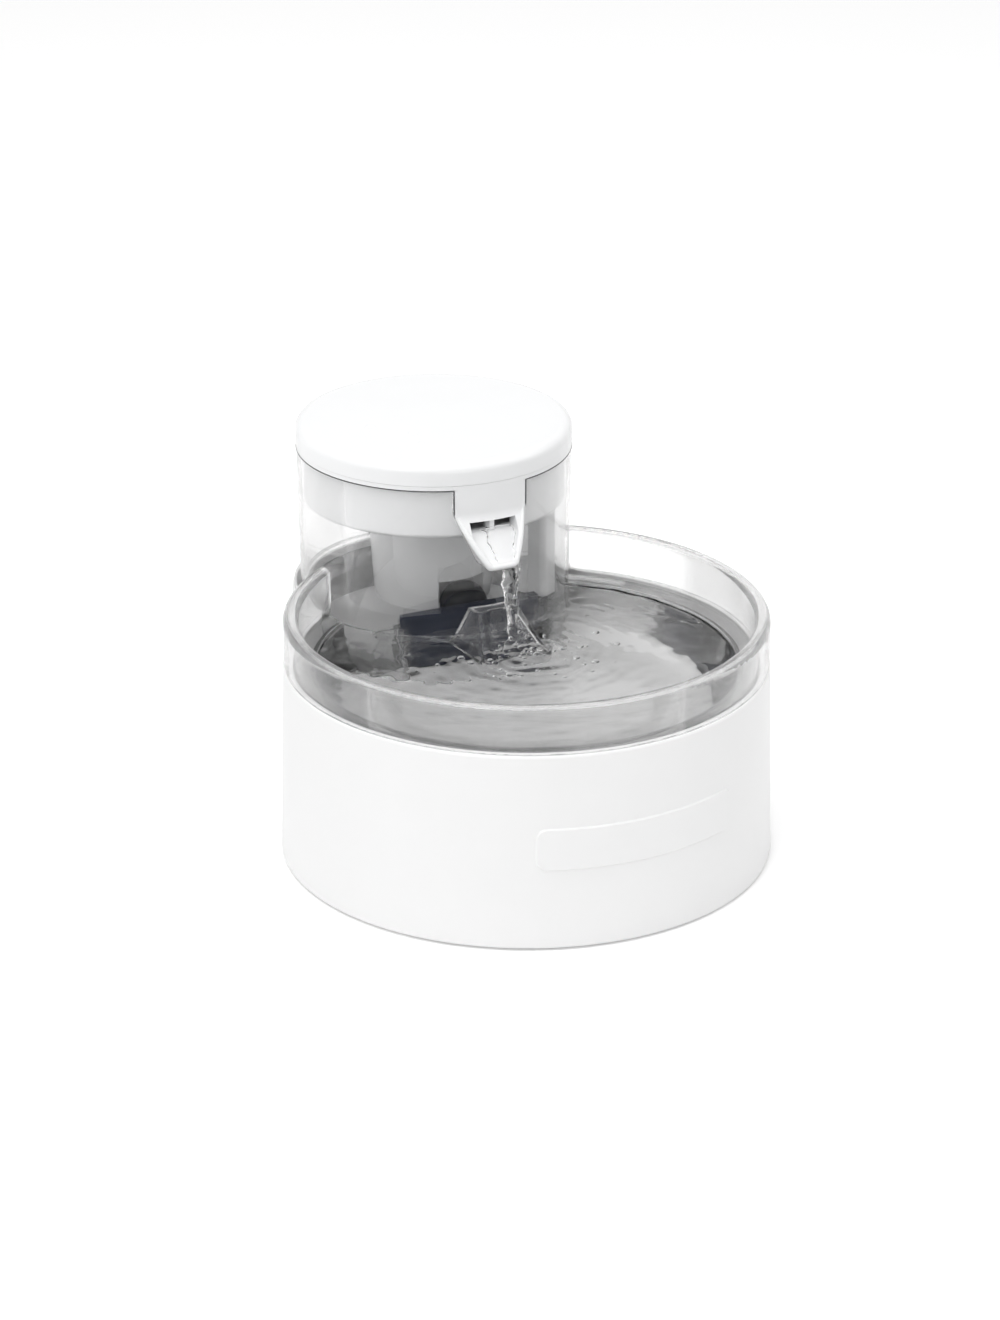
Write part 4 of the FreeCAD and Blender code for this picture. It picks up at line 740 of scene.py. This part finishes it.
room = bpy.data.worlds.new("white_room")
bpy.context.scene.world = room
room.use_nodes = True
room_tree = room.node_tree
room_light = room_tree.nodes["Background"]
room_light.inputs["Color"].default_value = (1, 1, 1, 1)
room_light.inputs["Strength"].default_value = 0.62
room_seen = room_tree.nodes.new("ShaderNodeBackground")
room_path = room_tree.nodes.new("ShaderNodeLightPath")
way = room_tree.nodes.new("ShaderNodeTexCoord")
behind = room_tree.nodes.new("ShaderNodeVectorMath")
behind.operation = "DOT_PRODUCT"
behind.inputs[1].default_value = (0.427, 0.904, 0.0)
room_tree.links.new(way.outputs["Generated"], behind.inputs[0])
backdrop = room_tree.nodes.new("ShaderNodeMapRange")
for socket, value in (("From Min", -0.2), ("From Max", 0.75), ("To Min", 0.9), ("To Max", 1.0)):
    backdrop.inputs[socket].default_value = value
room_tree.links.new(behind.outputs["Value"], backdrop.inputs["Value"])
brightest = maths(room_tree, "MAXIMUM", backdrop.outputs[0], room_path.outputs["Is Camera Ray"])
room_tree.links.new(brightest, room_seen.inputs["Strength"])
bent = maths(
    room_tree, "MAXIMUM", room_path.outputs["Is Transmission Ray"], room_path.outputs["Is Glossy Ray"],
)
shown = maths(room_tree, "MAXIMUM", bent, room_path.outputs["Is Camera Ray"])
room_mix = room_tree.nodes.new("ShaderNodeMixShader")
room_tree.links.new(shown, room_mix.inputs["Fac"])
room_tree.links.new(room_light.outputs[0], room_mix.inputs[1])
room_tree.links.new(room_seen.outputs[0], room_mix.inputs[2])
room_tree.links.new(room_mix.outputs[0], room_tree.nodes["World Output"].inputs["Surface"])

for name, place, size, power in (
    ("soft_top", (-0.5, -0.3, 2.4), 2.2, 30.0),
    ("soft_left", (-2.2, -1.4, 1.5), 1.6, 16.0),
    ("soft_right", (2.0, -1.0, 1.3), 1.4, 7.0),
):
    lamp = bpy.data.lights.new(name, "AREA")
    lamp.shape = "DISK"
    lamp.size = size
    lamp.energy = power
    light = bpy.data.objects.new(name, lamp)
    light.location = place
    light.rotation_mode = "QUATERNION"
    light.rotation_quaternion = (Vector((0, 0, 0.08)) - Vector(place)).to_track_quat("-Z", "Y")
    bpy.context.scene.collection.objects.link(light)

# Camera. It stands at the photograph's place, about 2.2 m away, and looks down on the
# fountain by 23 degrees.
camera_data = bpy.data.cameras.new("photo_camera")
camera_data.sensor_width = 36.0
camera_data.lens = 112.74
camera = bpy.data.objects.new("photo_camera", camera_data)
camera.location = (-0.84776, -1.79730, 0.94116)
pitch, yaw, turn = 0.40465, -0.007, math.radians(25.654)
sight_x, sight_y = math.sin(yaw) * math.cos(pitch), math.cos(yaw) * math.cos(pitch)
sight = Vector((
    math.cos(turn) * sight_x + math.sin(turn) * sight_y,
    -math.sin(turn) * sight_x + math.cos(turn) * sight_y,
    -math.sin(pitch),
))
camera.rotation_mode = "QUATERNION"
camera.rotation_quaternion = sight.to_track_quat("-Z", "Y")
bpy.context.scene.collection.objects.link(camera)
bpy.context.scene.camera = camera
bpy.context.scene.view_settings.view_transform = "Standard"
